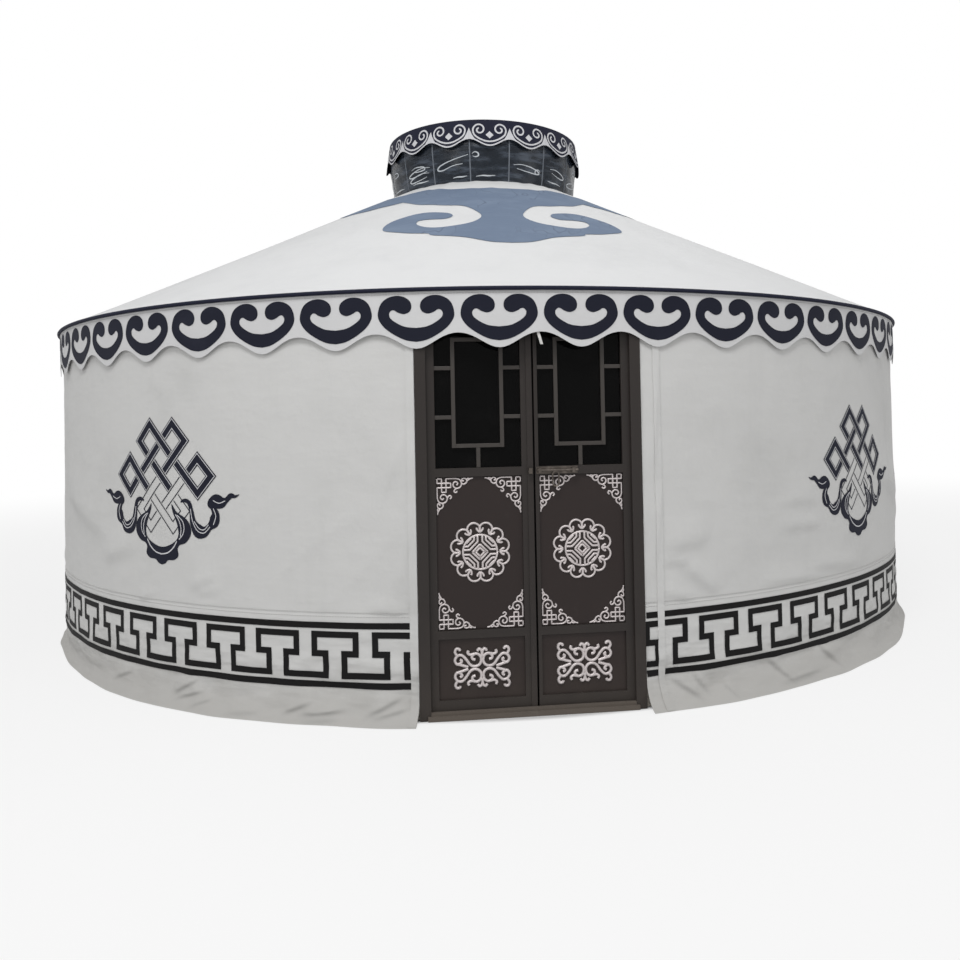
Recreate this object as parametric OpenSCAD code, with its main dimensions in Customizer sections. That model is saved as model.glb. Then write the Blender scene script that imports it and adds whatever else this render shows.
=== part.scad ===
/* [Yurt body] */
// Outer radius of the wall cover
wall_r = 2500; // [2200:10:2900]
// Height of the eave line at the outer edge of the roof
eave_h = 1640; // [1620:5:1800]
// Thickness of the wall felt and canvas
wall_t = 22; // [14:1:34]
// Thickness of the roof felt and canvas
roof_t = 20; // [12:1:30]
// How far the roof edge stands out past the wall
eave_out = 12; // [10:1:24]
// How far the ground flap flares out
flare = 84; // [50:2:110]
// Height where the ground flap leaves the wall
flare_h = 115; // [90:5:150]
// Thickness of the ground flap
flap_t = 5; // [3:0.5:8]
// Gap between seated pieces
seat_gap = 0.3; // [0.2:0.1:0.5]

/* [Eave valance] */
// Scallops round the eave
scallops = 50; // [40:1:60]
// Thickness of the valance cloth
valance_t = 4; // [3:0.5:6]
// Drop of the scallop tips below the eave line
valance_tip = 232; // [180:2:260]
// Depth of the scallops
scallop_d = 57; // [30:1:70]
// Turn of the scallops against the door
scallop_turn = 1.02; // [0:0.02:3.6]
// Radius of the corded binding at the eave
cord_r = 8; // [5:0.5:9]

/* [Lattice and eave ring] */
// Crossing columns in each lattice panel
lath_columns = 4; // [3:1:5]
// Height of one lattice diamond
diamond_h = 386; // [340:2:430]
// Width of a lath
lath_w = 32; // [24:1:40]
// Thickness of a lath
lath_t = 12; // [8:1:14]
// Radial width of the eave ring
ring_w = 32; // [26:1:40]
// Height of the eave ring
ring_h = 30; // [24:1:40]

/* [Roof frame] */
// Roof poles
poles = 40; // [30:2:48]
// Radius of a roof pole
pole_r = 18; // [14:1:22]
// Radius of the roof opening
crown_r = 600; // [520:10:680]
// Height of the roof at its opening
crown_h = 2580; // [2480:10:2700]

/* [Crown] */
// Radial width of the crown ring
crown_ring_w = 60; // [48:2:80]
// Height of the crown ring below the pole line
crown_ring_drop = 45; // [34:1:60]
// Posts that carry the upper ring
crown_posts_n = 8; // [6:1:12]
// Radius of a crown post
crown_post_r = 14; // [10:1:18]
// Height of the crown window above the roof opening
crown_rise = 350; // [300:5:400]
// Upper ring outer radius
top_ring_r = 614; // [560:2:680]
// Upper ring section width
top_ring_w = 34; // [26:1:44]
// Upper ring section height
top_ring_h = 30; // [24:1:40]
// Film panels round the crown
film_panels = 16; // [12:1:20]
// Film thickness
film_t = 3; // [2:0.5:4]
// Rise of the cap dome
cap_rise = 70; // [50:2:120]
// Thickness of the cap
cap_t = 8; // [5:1:12]
// Crown valance drop at its tips
crown_tip = 168; // [130:2:190]
// Depth of the crown scallops
crown_scallop_d = 46; // [30:1:55]
// Flare of the crown valance
crown_flare = 24; // [10:1:32]

/* [Door frame] */
// Outer width of the door frame
door_w = 876; // [800:2:940]
// Drop from the eave to the top of the door head
door_drop = 59; // [58:1:80]
// Width of a jamb
jamb_w = 30; // [26:1:40]
// Depth of the door frame
frame_d = 80; // [70:1:100]
// Stop lip width
lip_w = 12; // [8:1:16]
// Stop lip thickness
lip_t = 15; // [10:1:18]
// Front face of the door frame behind the wall radius
door_set = 32; // [28:1:44]
// Height of the threshold
sill_h = 18; // [12:1:24]

/* [Door leaves] */
// Leaf thickness
leaf_t = 36; // [30:1:42]
// Clearance round a leaf
leaf_gap = 6; // [5:0.5:7]
// Clearance between a leaf and its stop
stop_gap = 5; // [4:0.5:6]
// Gap between the two leaves
meet_gap = 8; // [8:0.5:10]
// Middle of the meeting gap, to the right of the door centre
meet_x = 15; // [0:1:18]
// Outer stile width
stile_w = 38; // [30:1:44]
// Inner stile edge each side of the door centre
inner_stile = 33; // [30:1:44]
// Bottom rail height
foot_rail = 44; // [36:1:56]
// Top of the lower panel
low_panel_top = 300; // [260:2:330]
// Rail between the lower and upper panel
low_rail = 32; // [26:1:40]
// Top of the upper panel
panel_top = 918; // [880:2:930]
// Middle rail height
mid_rail = 33; // [30:1:40]
// Top rail height
top_rail = 32; // [26:1:40]
// Panel thickness
panel_t = 16; // [10:1:20]
// Panel recess behind the leaf face
panel_set = 10; // [6:1:12]
// Glass thickness
glass_t = 5; // [4:0.5:8]
// Raised meeting strip width
strip_w = 22; // [16:1:26]
// Raised meeting strip thickness
strip_t = 5; // [3:0.5:6]

/* [Hinges] */
// Hinges on each leaf
hinges = 3; // [2:1:4]
// Knuckle radius
knuckle_r = 8; // [7:0.5:8]
// Pin radius
pin_r = 4.5; // [3.5:0.25:5]
// Clearance between pin and bore
pin_gap = 0.15; // [0.1:0.05:0.3]
// Height of one knuckle
knuckle_h = 40; // [30:1:50]
// Thickness of a hinge flag
flag_t = 4; // [3:0.5:5]

/* [Slide bolt] */
// Height of the bolt
bolt_z = 935; // [928:1:940]
// Radius of the bolt rod
bolt_r = 5; // [4:0.25:6]
// Left end of the withdrawn rod
bolt_x = 27; // [26:1:32]
// Length of the rod
bolt_l = 158; // [140:2:180]
// Bolt plate height
bolt_plate_h = 28; // [24:1:32]
// Bolt plate thickness
bolt_plate_t = 3; // [2:0.5:4]
// Clearance of the rod in its staples
bolt_gap = 0.2; // [0.15:0.05:0.4]
// Clearance of the rod in the keeper
keeper_gap = 2.5; // [2:0.25:3]
// Radius of the ends of the pull loop
pull_r = 12; // [9:1:14]
// Straight length of the pull loop
pull_l = 32; // [20:1:40]

/* [Hidden] */
$fn = 96;
eps = 0.01;

// Roof line
eave_r = wall_r + eave_out;
beta = atan((crown_h - eave_h) / (eave_r - crown_r));
function roof_z(r) = eave_h + (eave_r - r) * tan(beta);
function under_z(r) = roof_z(r) - roof_t / cos(beta);
function pole_z(r) = under_z(r) - (pole_r + seat_gap) / cos(beta);
cover_in = crown_r - 15;
lip_z = eave_h - 40;
seam_a = 0.008;

// Wall frame
door_h = eave_h - door_drop;
frame_r = wall_r - wall_t - seat_gap;
ring_z1 = door_h + seat_gap + ring_h;
lattice_h = door_h - seat_gap;
panel_a = 30;
column_a = panel_a / lath_columns;
lath_lean = atan(diamond_h / (frame_r * column_a * PI / 180));
lath_reach = lattice_h / diamond_h * column_a / 2;

// Valance
valance_r = eave_r + seat_gap;
scallop_half = PI * valance_r / scallops;
scallop_r = (pow(scallop_half, 2) + pow(scallop_d, 2)) / (2 * scallop_d);
tip_z = eave_h - valance_tip;

// Crown
end_r = crown_r - 25;
end_z = pole_z(end_r);
crown_z0 = end_z - crown_ring_drop;
crown_z1 = end_z + pole_r * cos(beta);
function crown_face(z) = end_r - seat_gap / cos(beta) + (z - end_z) * tan(beta);
top_z1 = crown_h + crown_rise;
top_z0 = top_z1 - top_ring_h;
cap_r = top_ring_r + film_t + 3;
cap_z = top_z1 + seat_gap;
rim_h = 18;
cap_sphere = (pow(cap_r, 2) + pow(cap_rise, 2)) / (2 * cap_rise);
cap_centre = cap_z + rim_h + cap_rise - cap_sphere;
hang_r = cap_r + seat_gap;
hang_z = cap_z + rim_h;
crown_half = PI * (hang_r + crown_flare) / film_panels;
crown_cut_r = (pow(crown_half, 2) + pow(crown_scallop_d, 2)) / (2 * crown_scallop_d);

// Door
door_x = door_w / 2;
front_y = -(wall_r - door_set);
back_y = front_y + frame_d;
open_x = door_x - jamb_w;
head_z = door_h - jamb_w;
leaf_y0 = front_y + lip_t + stop_gap;
leaf_y1 = leaf_y0 + leaf_t;
leaf_z0 = sill_h + leaf_gap;
leaf_z1 = head_z - leaf_gap;
leaf_x = open_x - leaf_gap;
left_end = meet_x - meet_gap / 2;
right_end = meet_x + meet_gap / 2;
hinge_x = open_x - knuckle_r - 1;
hinge_y = leaf_y1 + knuckle_r + 1;
glass_z0 = panel_top + mid_rail;
glass_z1 = leaf_z1 - top_rail;
hinge_step = (leaf_z1 - leaf_z0 - 300) / (hinges - 1);

// Bolt
strip_y = leaf_y0 - strip_t;
bolt_y = strip_y - seat_gap - 3 - keeper_gap - bolt_r;

module wedge(a0, a1) {
  rotate([0, 0, a0 - 90])
    rotate_extrude(angle = a1 - a0, $fn = 720)
      children();
}

module wall_profile() {
  flap_r = (pow(flare, 2) + pow(flare_h, 2)) / (2 * flare);
  top_in = under_z(wall_r - wall_t) - seat_gap;
  top_out = under_z(wall_r) - seat_gap;
  polygon([[wall_r - wall_t, 0], [wall_r, 0], [wall_r, top_out], [wall_r - wall_t, top_in]]);
  intersection() {
    translate([wall_r + flap_r, flare_h])
      difference() {
        circle(r = flap_r + flap_t);
        circle(r = flap_r);
      }
    translate([wall_r - wall_t / 2, 0])
      square([flare + wall_t, flare_h]);
  }
}

module doorway() {
  translate([-door_x - seat_gap, -wall_r - flare - 10, -1])
    cube([door_w + 2 * seat_gap, wall_t + flare + 200, door_h + eave_h]);
}

module wall_cover(k) {
  color([0.80, 0.80, 0.79])
    difference() {
      wedge(90 * k + seam_a, 90 * k + 90 - seam_a)
        wall_profile();
      if (k == 0 || k == 3) doorway();
    }
}

module roof_cover(k) {
  color([0.90, 0.90, 0.90])
    wedge(90 * k + seam_a, 90 * k + 90 - seam_a)
      polygon([[cover_in, roof_z(cover_in)], [eave_r, eave_h], [eave_r, lip_z],
        [wall_r + seat_gap, lip_z], [wall_r + seat_gap, under_z(wall_r + seat_gap)],
        [cover_in, under_z(cover_in)]]);
}

module eave_valance() {
  color([0.14, 0.15, 0.22])
    difference() {
      rotate_extrude()
        translate([valance_r, tip_z])
          square([valance_t, valance_tip - 2 * cord_r - seat_gap]);
      for (i = [0 : scallops - 1])
        rotate([0, 0, i * 360 / scallops + scallop_turn])
          translate([0, -valance_r + 30, tip_z + scallop_d - scallop_r])
            rotate([90, 0, 0])
              cylinder(r = scallop_r, h = 60);
    }
}

module eave_binding() {
  color([0.10, 0.11, 0.16])
    rotate_extrude()
      translate([valance_r + cord_r, eave_h - cord_r])
        circle(r = cord_r, $fn = 32);
}

module lath_layer(k, r0, lean) {
  a0 = panel_a * k;
  intersection() {
    wedge(a0 + seam_a, a0 + panel_a - seam_a)
      translate([r0, 0])
        square([lath_t, lattice_h]);
    for (a = [a0 - ceil(lath_reach / column_a) * column_a : column_a : a0 + panel_a + lath_reach + eps])
      rotate([0, 0, a - 90])
        translate([r0 - 110, 0, lattice_h / 2])
          rotate([lean, 0, 0])
            translate([0, -lattice_h, -lath_w / 2])
              cube([110 + lath_t + 5, 2 * lattice_h, lath_w]);
  }
}

module lattice(k) {
  lap = 1;
  color([0.62, 0.45, 0.28])
    difference() {
      union() {
        lath_layer(k, frame_r - lath_t, lath_lean);
        lath_layer(k, frame_r - 2 * lath_t + lap, -lath_lean);
        if (k == 0 || k == 11) edge_lath(k);
      }
      if (k == 0 || k == 11) doorway();
    }
}

module edge_lath(k) {
  side = k == 0 ? 1 : -1;
  lap = 1;
  intersection() {
    wedge(panel_a * k + seam_a, panel_a * k + panel_a - seam_a)
      translate([frame_r - 2 * lath_t + lap, 0])
        square([2 * lath_t - lap, lattice_h]);
    translate([side * (door_x + seat_gap + lath_w / 2) - lath_w / 2, -wall_r, 0])
      cube([lath_w, 300, lattice_h]);
  }
}

module eave_ring() {
  color([0.55, 0.38, 0.22])
    rotate_extrude()
      translate([frame_r - ring_w, door_h + seat_gap])
        square([ring_w, ring_h]);
}

module roof_poles() {
  color([0.58, 0.40, 0.24])
    for (i = [0 : poles - 1])
      rotate([0, 0, (i + 0.5) * 360 / poles - 90])
        intersection() {
          translate([end_r, 0, end_z])
            rotate([0, 90 + beta, 0])
              cylinder(r = pole_r, h = eave_r - end_r + 400);
          translate([0, -pole_r - 1, ring_z1 + seat_gap])
            cube([frame_r - 1, 2 * pole_r + 2, crown_h]);
        }
}

module crown_ring() {
  color([0.55, 0.38, 0.22])
    rotate_extrude()
      polygon([[end_r - crown_ring_w, crown_z0], [crown_face(crown_z0), crown_z0],
        [crown_face(crown_z1), crown_z1], [end_r - crown_ring_w, crown_z1]]);
}

module crown_posts() {
  foot_r = end_r - crown_ring_w / 2;
  head_r = top_ring_r - top_ring_w / 2;
  foot_z = crown_z1 + seat_gap;
  head_end = top_z0 - seat_gap;
  lean = atan((head_r - foot_r) / (head_end - foot_z));
  color([0.55, 0.38, 0.22])
    for (i = [0 : crown_posts_n - 1])
      rotate([0, 0, i * 360 / crown_posts_n - 90])
        intersection() {
          translate([foot_r, 0, foot_z])
            rotate([0, lean, 0])
              translate([0, 0, -40])
                cylinder(r = crown_post_r, h = head_end - foot_z + 120);
          translate([foot_r - 100, -50, foot_z])
            cube([250, 100, head_end - foot_z]);
        }
}

module crown_top_ring() {
  color([0.55, 0.38, 0.22])
    rotate_extrude()
      translate([top_ring_r - top_ring_w, top_z0])
        square([top_ring_w, top_ring_h]);
}

module crown_ribs() {
  rib_w = 24;
  rib_d = 22;
  rib_r = cap_sphere - cap_t - seat_gap;
  rib_x = cap_r - 16;
  hub_r = 70;
  color([0.55, 0.38, 0.22]) {
    for (a = [0 : 45 : 315])
      rotate([0, 0, a])
        translate([0, rib_w / 2, 0])
          rotate([90, 0, 0])
            linear_extrude(height = rib_w)
              intersection() {
                translate([0, cap_centre])
                  difference() {
                    circle(r = rib_r, $fn = 720);
                    circle(r = rib_r - rib_d, $fn = 720);
                  }
                translate([hub_r - 15, cap_z])
                  square([rib_x - hub_r + 15, cap_rise + rim_h]);
              }
    translate([0, 0, cap_centre + rib_r - rib_d - 10])
      cylinder(r = hub_r, h = rib_d + 8);
  }
}

module crown_windows() {
  foot_z = roof_z(crown_r) + seat_gap;
  top_in = top_ring_r + seat_gap;
  half = 180 / film_panels;
  color([0.20, 0.22, 0.25, 0.6])
    for (i = [0 : film_panels - 1])
      wedge(i * 2 * half - half + 0.03, i * 2 * half + half - 0.03)
        polygon([[crown_r, foot_z], [crown_r + film_t, foot_z], [top_in + film_t, top_z0],
          [top_in + film_t, top_z1], [top_in, top_z1], [top_in, top_z0]]);
}

module crown_cap() {
  color([0.13, 0.14, 0.22])
    rotate_extrude()
      difference() {
        intersection() {
          translate([0, cap_centre])
            circle(r = cap_sphere, $fn = 360);
          translate([0, cap_z])
            square([cap_r, cap_rise + rim_h + 1]);
        }
        intersection() {
          translate([0, cap_centre])
            circle(r = cap_sphere - cap_t, $fn = 360);
          translate([-1, cap_z - 1])
            square([cap_r - 14, cap_rise + rim_h + 1]);
        }
      }
}

module crown_valance() {
  color([0.13, 0.14, 0.22])
    difference() {
      rotate_extrude()
        polygon([[hang_r, hang_z], [hang_r + valance_t, hang_z],
          [hang_r + valance_t + crown_flare, hang_z - crown_tip],
          [hang_r + crown_flare, hang_z - crown_tip]]);
      for (i = [0 : film_panels - 1])
        rotate([0, 0, (i + 0.5) * 360 / film_panels])
          translate([0, -hang_r + 20, hang_z - crown_tip + crown_scallop_d - crown_cut_r])
            rotate([90, 0, 0])
              cylinder(r = crown_cut_r, h = 80);
    }
}

module door_jamb(side) {
  color([0.20, 0.18, 0.17]) {
    x0 = side > 0 ? open_x : -door_x;
    lip_x = side > 0 ? open_x - lip_w : -open_x;
    translate([x0, front_y, 0])
      cube([jamb_w, frame_d, head_z - seat_gap]);
    translate([lip_x, front_y, sill_h + seat_gap])
      cube([lip_w, lip_t, head_z - sill_h - 2 * seat_gap]);
    for (i = [0 : hinges - 1])
      translate([side * hinge_x, hinge_y, leaf_z0 + 110 + i * hinge_step]) {
        cylinder(r = knuckle_r, h = knuckle_h);
        cylinder(r = pin_r, h = 2 * knuckle_h);
        translate([side > 0 ? 0 : -knuckle_r - 2, -flag_t / 2, 0])
          cube([knuckle_r + 2, flag_t, knuckle_h]);
      }
  }
}

module door_head() {
  color([0.20, 0.18, 0.17]) {
    translate([-door_x, front_y, head_z])
      cube([door_w, frame_d, jamb_w]);
    translate([-open_x + lip_w + seat_gap, front_y, head_z - lip_w])
      cube([2 * (open_x - lip_w - seat_gap), lip_t, lip_w]);
  }
}

module door_threshold() {
  color([0.36, 0.33, 0.30]) {
    translate([-open_x + seat_gap, front_y - 10, 0])
      cube([2 * open_x - 2 * seat_gap, frame_d + 10, sill_h]);
    translate([-open_x + lip_w + seat_gap, front_y, sill_h])
      cube([2 * (open_x - lip_w - seat_gap), lip_t, lip_w]);
  }
}

// One leaf frame between x0 and x1 with three openings and its hinge halves
module leaf_frame(x0, x1, open0, open1, side) {
  difference() {
    translate([x0, leaf_y0, leaf_z0])
      cube([x1 - x0, leaf_t, leaf_z1 - leaf_z0]);
    leaf_opening(open0, open1, leaf_z0 + foot_rail, low_panel_top);
    leaf_opening(open0, open1, low_panel_top + low_rail, panel_top);
    leaf_opening(open0, open1, glass_z0, glass_z1);
  }
  for (i = [0 : hinges - 1])
    translate([side * hinge_x, hinge_y, leaf_z0 + 110 + knuckle_h + 1 + i * hinge_step])
      difference() {
        union() {
          cylinder(r = knuckle_r, h = knuckle_h);
          translate([side > 0 ? -flag_t : 0, -knuckle_r - 2, 0])
            cube([flag_t, knuckle_r + 2, knuckle_h]);
        }
        translate([0, 0, -1])
          cylinder(r = pin_r + pin_gap, h = knuckle_h + 2);
      }
}

module leaf_opening(open0, open1, z0, z1) {
  translate([open0, leaf_y0 - 1, z0])
    cube([open1 - open0, leaf_t + 2, z1 - z0]);
}

module leaf_fill(open0, open1, z0, z1, y0, t) {
  translate([open0 + seat_gap, y0, z0 + seat_gap])
    cube([open1 - open0 - 2 * seat_gap, t, z1 - z0 - 2 * seat_gap]);
}

module leaf_panels(open0, open1) {
  leaf_fill(open0, open1, leaf_z0 + foot_rail, low_panel_top, leaf_y0 + panel_set, panel_t);
  leaf_fill(open0, open1, low_panel_top + low_rail, panel_top, leaf_y0 + panel_set, panel_t);
}

module left_leaf_frame() {
  color([0.22, 0.20, 0.19]) {
    leaf_frame(-leaf_x, left_end, -leaf_x + stile_w, -inner_stile, -1);
    translate([left_end - strip_w, strip_y, leaf_z0])
      cube([strip_w, strip_t, leaf_z1 - lip_w - leaf_z0]);
  }
}

module left_leaf_panels() {
  color([0.18, 0.15, 0.15])
    leaf_panels(-leaf_x + stile_w, -inner_stile);
}

module left_leaf_glass() {
  color([0.10, 0.10, 0.11, 0.6])
    leaf_fill(-leaf_x + stile_w, -inner_stile, glass_z0, glass_z1, leaf_y0 + leaf_t / 2, glass_t);
}

module right_leaf_frame() {
  color([0.22, 0.20, 0.19])
    leaf_frame(right_end, leaf_x, inner_stile, leaf_x - stile_w, 1);
}

module right_leaf_panels() {
  color([0.18, 0.15, 0.15])
    leaf_panels(inner_stile, leaf_x - stile_w);
}

module right_leaf_glass() {
  color([0.10, 0.10, 0.11, 0.6])
    leaf_fill(inner_stile, leaf_x - stile_w, glass_z0, glass_z1, leaf_y0 + leaf_t / 2, glass_t);
}

module bolt_plate() {
  plate_x = right_end + 4;
  plate_l = bolt_x + bolt_l - plate_x;
  staple_l = 12;
  plate_y = leaf_y0 - seat_gap - bolt_plate_t;
  color([0.62, 0.62, 0.63])
    difference() {
      union() {
        translate([plate_x, plate_y, bolt_z - bolt_plate_h / 2])
          cube([plate_l, bolt_plate_t, bolt_plate_h]);
        for (x = [plate_x + 6, plate_x + plate_l - staple_l - 12])
          translate([x, bolt_y - bolt_r - 3, bolt_z - bolt_r - 4])
            cube([staple_l, plate_y - bolt_y + bolt_r + 3 + eps, 2 * bolt_r + 8]);
      }
      translate([plate_x - 1, bolt_y, bolt_z])
        rotate([0, 90, 0])
          cylinder(r = bolt_r + bolt_gap, h = plate_l + 2);
    }
}

module bolt_rod() {
  color([0.70, 0.70, 0.71]) {
    translate([bolt_x, bolt_y, bolt_z])
      rotate([0, 90, 0])
        cylinder(r = bolt_r, h = bolt_l);
    translate([bolt_x + 70, bolt_y, bolt_z - bolt_r - pull_r])
      rotate([90, 0, 0])
        pull_loop();
  }
}

// A long loop of round bar, hanging from its upper bend
module pull_loop() {
  tube = 3.5;
  rotate_extrude(angle = 180)
    translate([pull_r, 0])
      circle(r = tube, $fn = 24);
  translate([0, -pull_l, 0])
    rotate([0, 0, 180])
      rotate_extrude(angle = 180)
        translate([pull_r, 0])
          circle(r = tube, $fn = 24);
  for (side = [-1, 1])
    translate([side * pull_r, 0, 0])
      rotate([90, 0, 0])
        cylinder(r = tube, h = pull_l, $fn = 24);
}

module bolt_keeper() {
  keeper_x = left_end - strip_w - 4;
  keeper_l = left_end - 4 - keeper_x;
  block_l = 14;
  wall = 3;
  color([0.62, 0.62, 0.63])
    difference() {
      translate([left_end - 5 - block_l, bolt_y - bolt_r - keeper_gap - wall, bolt_z - bolt_r - keeper_gap - wall])
        cube([block_l, strip_y - seat_gap - bolt_y + bolt_r + keeper_gap + wall, 2 * (bolt_r + keeper_gap + wall)]);
      translate([keeper_x, bolt_y, bolt_z])
        rotate([0, 90, 0])
          cylinder(r = bolt_r + keeper_gap, h = keeper_l + 40);
    }
}

wall_cover(0);  // wall_cover_1
wall_cover(1);  // wall_cover_2
wall_cover(2);  // wall_cover_3
wall_cover(3);  // wall_cover_4
roof_cover(0);  // roof_cover_1
roof_cover(1);  // roof_cover_2
roof_cover(2);  // roof_cover_3
roof_cover(3);  // roof_cover_4
eave_valance();
eave_binding();
lattice(0);  // lattice_1
lattice(1);  // lattice_2
lattice(2);  // lattice_3
lattice(3);  // lattice_4
lattice(4);  // lattice_5
lattice(5);  // lattice_6
lattice(6);  // lattice_7
lattice(7);  // lattice_8
lattice(8);  // lattice_9
lattice(9);  // lattice_10
lattice(10);  // lattice_11
lattice(11);  // lattice_12
eave_ring();
roof_poles();
crown_ring();
crown_posts();
crown_top_ring();
crown_ribs();
crown_windows();
crown_cap();
crown_valance();
door_jamb(-1);  // door_jamb_left
door_jamb(1);  // door_jamb_right
door_head();
door_threshold();
left_leaf_frame();
left_leaf_panels();
left_leaf_glass();
right_leaf_frame();
right_leaf_panels();
right_leaf_glass();
bolt_plate();
bolt_rod();
bolt_keeper();
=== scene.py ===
"""Looks of the yurt: canvas and felt, printed bands, scalloped valances, crown film and door trim."""
import math

import bmesh
import bpy
import numpy as np
from mathutils import Matrix, Vector, geometry, noise


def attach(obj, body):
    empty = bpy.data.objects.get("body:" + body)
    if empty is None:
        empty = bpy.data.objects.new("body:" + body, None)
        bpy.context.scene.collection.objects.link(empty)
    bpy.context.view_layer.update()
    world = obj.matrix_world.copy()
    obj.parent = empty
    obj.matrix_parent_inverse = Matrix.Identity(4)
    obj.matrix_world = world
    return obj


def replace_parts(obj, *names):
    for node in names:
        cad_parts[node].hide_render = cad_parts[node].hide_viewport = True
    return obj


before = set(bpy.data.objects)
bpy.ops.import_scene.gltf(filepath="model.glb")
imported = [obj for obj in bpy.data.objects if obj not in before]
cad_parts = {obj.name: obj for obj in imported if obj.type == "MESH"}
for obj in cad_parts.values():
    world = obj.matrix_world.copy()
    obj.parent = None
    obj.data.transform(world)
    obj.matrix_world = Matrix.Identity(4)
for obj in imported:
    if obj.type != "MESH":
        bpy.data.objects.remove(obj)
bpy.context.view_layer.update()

# Sizes in metres, angles in degrees from the door, positive to the right
WALL_R, EAVE_R, EAVE_Z = 2.500, 2.512, 1.640
CROWN_R, CROWN_Z = 0.600, 2.580
ROOF_RISE = (CROWN_Z - EAVE_Z) / (EAVE_R - CROWN_R)
ROOF_TILT = math.atan(ROOF_RISE)
FLARE_H, FLARE_ARC = 0.115, 0.1207
DOOR_A = math.degrees(math.asin(0.4387 / WALL_R))
LEAF_Y, PANEL_Y = -2.448, -2.438
SCALLOPS, SCALLOP_TURN = 50, 1.02
VALANCE_TIP, VALANCE_NOTCH, VALANCE_TOP = 1.408, 1.466, 1.6245
CROWN_SCALLOPS = 16
HANG_R, HANG_Z, HANG_TIP, HANG_FLARE = 0.6203, 2.9483, 2.7803, 0.024
CAP_R, CAP_EDGE, CAP_RISE = 0.620, 0.6195, 0.070
FILM_FOOT, FILM_TOP = 2.5803, 2.900
CANVAS_T, VALANCE_T, FELT_FACES = 0.003, 0.002, (2.4885, 2.4785)
VALANCE_R = EAVE_R + 0.0030
SECTOR = 6
BAND_LIFT = 0.0020
KNOTS_AT = (-37.0, 40.0, 110.0, 180.0, 250.0)

# Metres of cloth to a degree
WALL_DEGREE, EAVE_DEGREE = math.radians(1) * WALL_R, math.radians(1) * EAVE_R
ROOF_DEGREE, HANG_DEGREE, FILM_DEGREE = math.radians(1.5), 0.0111, 0.0105


def view_from_photo():
    """The camera, at the place and angle that the photo was taken from."""
    lens = bpy.data.cameras.new("photo_camera")
    lens.sensor_width, lens.lens = 36.0, 31.875
    lens.shift_x, lens.shift_y = -0.0531, -0.0740
    lens.clip_end = 200
    turn = (Matrix.Rotation(math.radians(-6.62), 3, "Z") @ Matrix.Rotation(math.radians(0.79), 3, "X")
            @ Matrix.Rotation(math.radians(1.13), 3, "Y"))
    right, ahead, up = turn.col
    camera = bpy.data.objects.new("photo_camera", lens)
    camera.matrix_world = (Matrix.Translation((-0.3716, -5.7154, 1.1274))
                           @ Matrix((right, up, -ahead)).transposed().to_4x4())
    bpy.context.scene.collection.objects.link(camera)
    bpy.context.scene.camera = camera


view_from_photo()


# Materials

class Value:
    """A shader socket that works in Python sums."""

    def __init__(self, paint, socket):
        self.paint, self.socket = paint, socket

    def _math(self, operation, first, second):
        return self.paint.add("ShaderNodeMath", {"operation": operation}, [first, second])

    def __add__(self, other): return self._math("ADD", self, other)
    def __radd__(self, other): return self._math("ADD", other, self)
    def __sub__(self, other): return self._math("SUBTRACT", self, other)
    def __rsub__(self, other): return self._math("SUBTRACT", other, self)
    def __mul__(self, other): return self._math("MULTIPLY", self, other)
    def __rmul__(self, other): return self._math("MULTIPLY", other, self)
    def __truediv__(self, other): return self._math("DIVIDE", self, other)
    def __rtruediv__(self, other): return self._math("DIVIDE", other, self)
    def __pow__(self, other): return self._math("POWER", self, other)
    def __rpow__(self, other): return self._math("POWER", other, self)


def rgba(colour):
    """A colour with its alpha, or a value that isn't a plain colour, as it is."""
    return (*colour, 1.0) if isinstance(colour, tuple) and len(colour) == 3 else colour


class Tree:
    """A shader tree, of a material or of the world."""

    def __init__(self, tree):
        self.nodes, self.links = tree.nodes, tree.links

    def add(self, kind, settings=None, values=(), out=0):
        """Adds a node of that kind; settings come first, then its sockets by place or name."""
        node = self.nodes.new(kind)
        for key, setting in (settings or {}).items():
            setattr(node, key, setting)
        pairs = values.items() if isinstance(values, dict) else enumerate(values)
        for key, value in pairs:
            self.put(node.inputs[key], value)
        return Value(self, node.outputs[out])

    def put(self, socket, value):
        if isinstance(value, Value):
            self.links.new(value.socket, socket)
        else:
            socket.default_value = value

    def most(self, first, second):
        return self.add("ShaderNodeMath", {"operation": "MAXIMUM"}, [first, second])

    def seen(self):
        """1 for the rays that show a thing to the camera: straight, mirrored or through glass."""
        rays = self.nodes.new("ShaderNodeLightPath")
        straight, mirrored_ray, through = (Value(self, rays.outputs[f"Is {kind} Ray"])
                                           for kind in ("Camera", "Glossy", "Transmission"))
        return self.most(self.most(straight, mirrored_ray), through)


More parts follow.
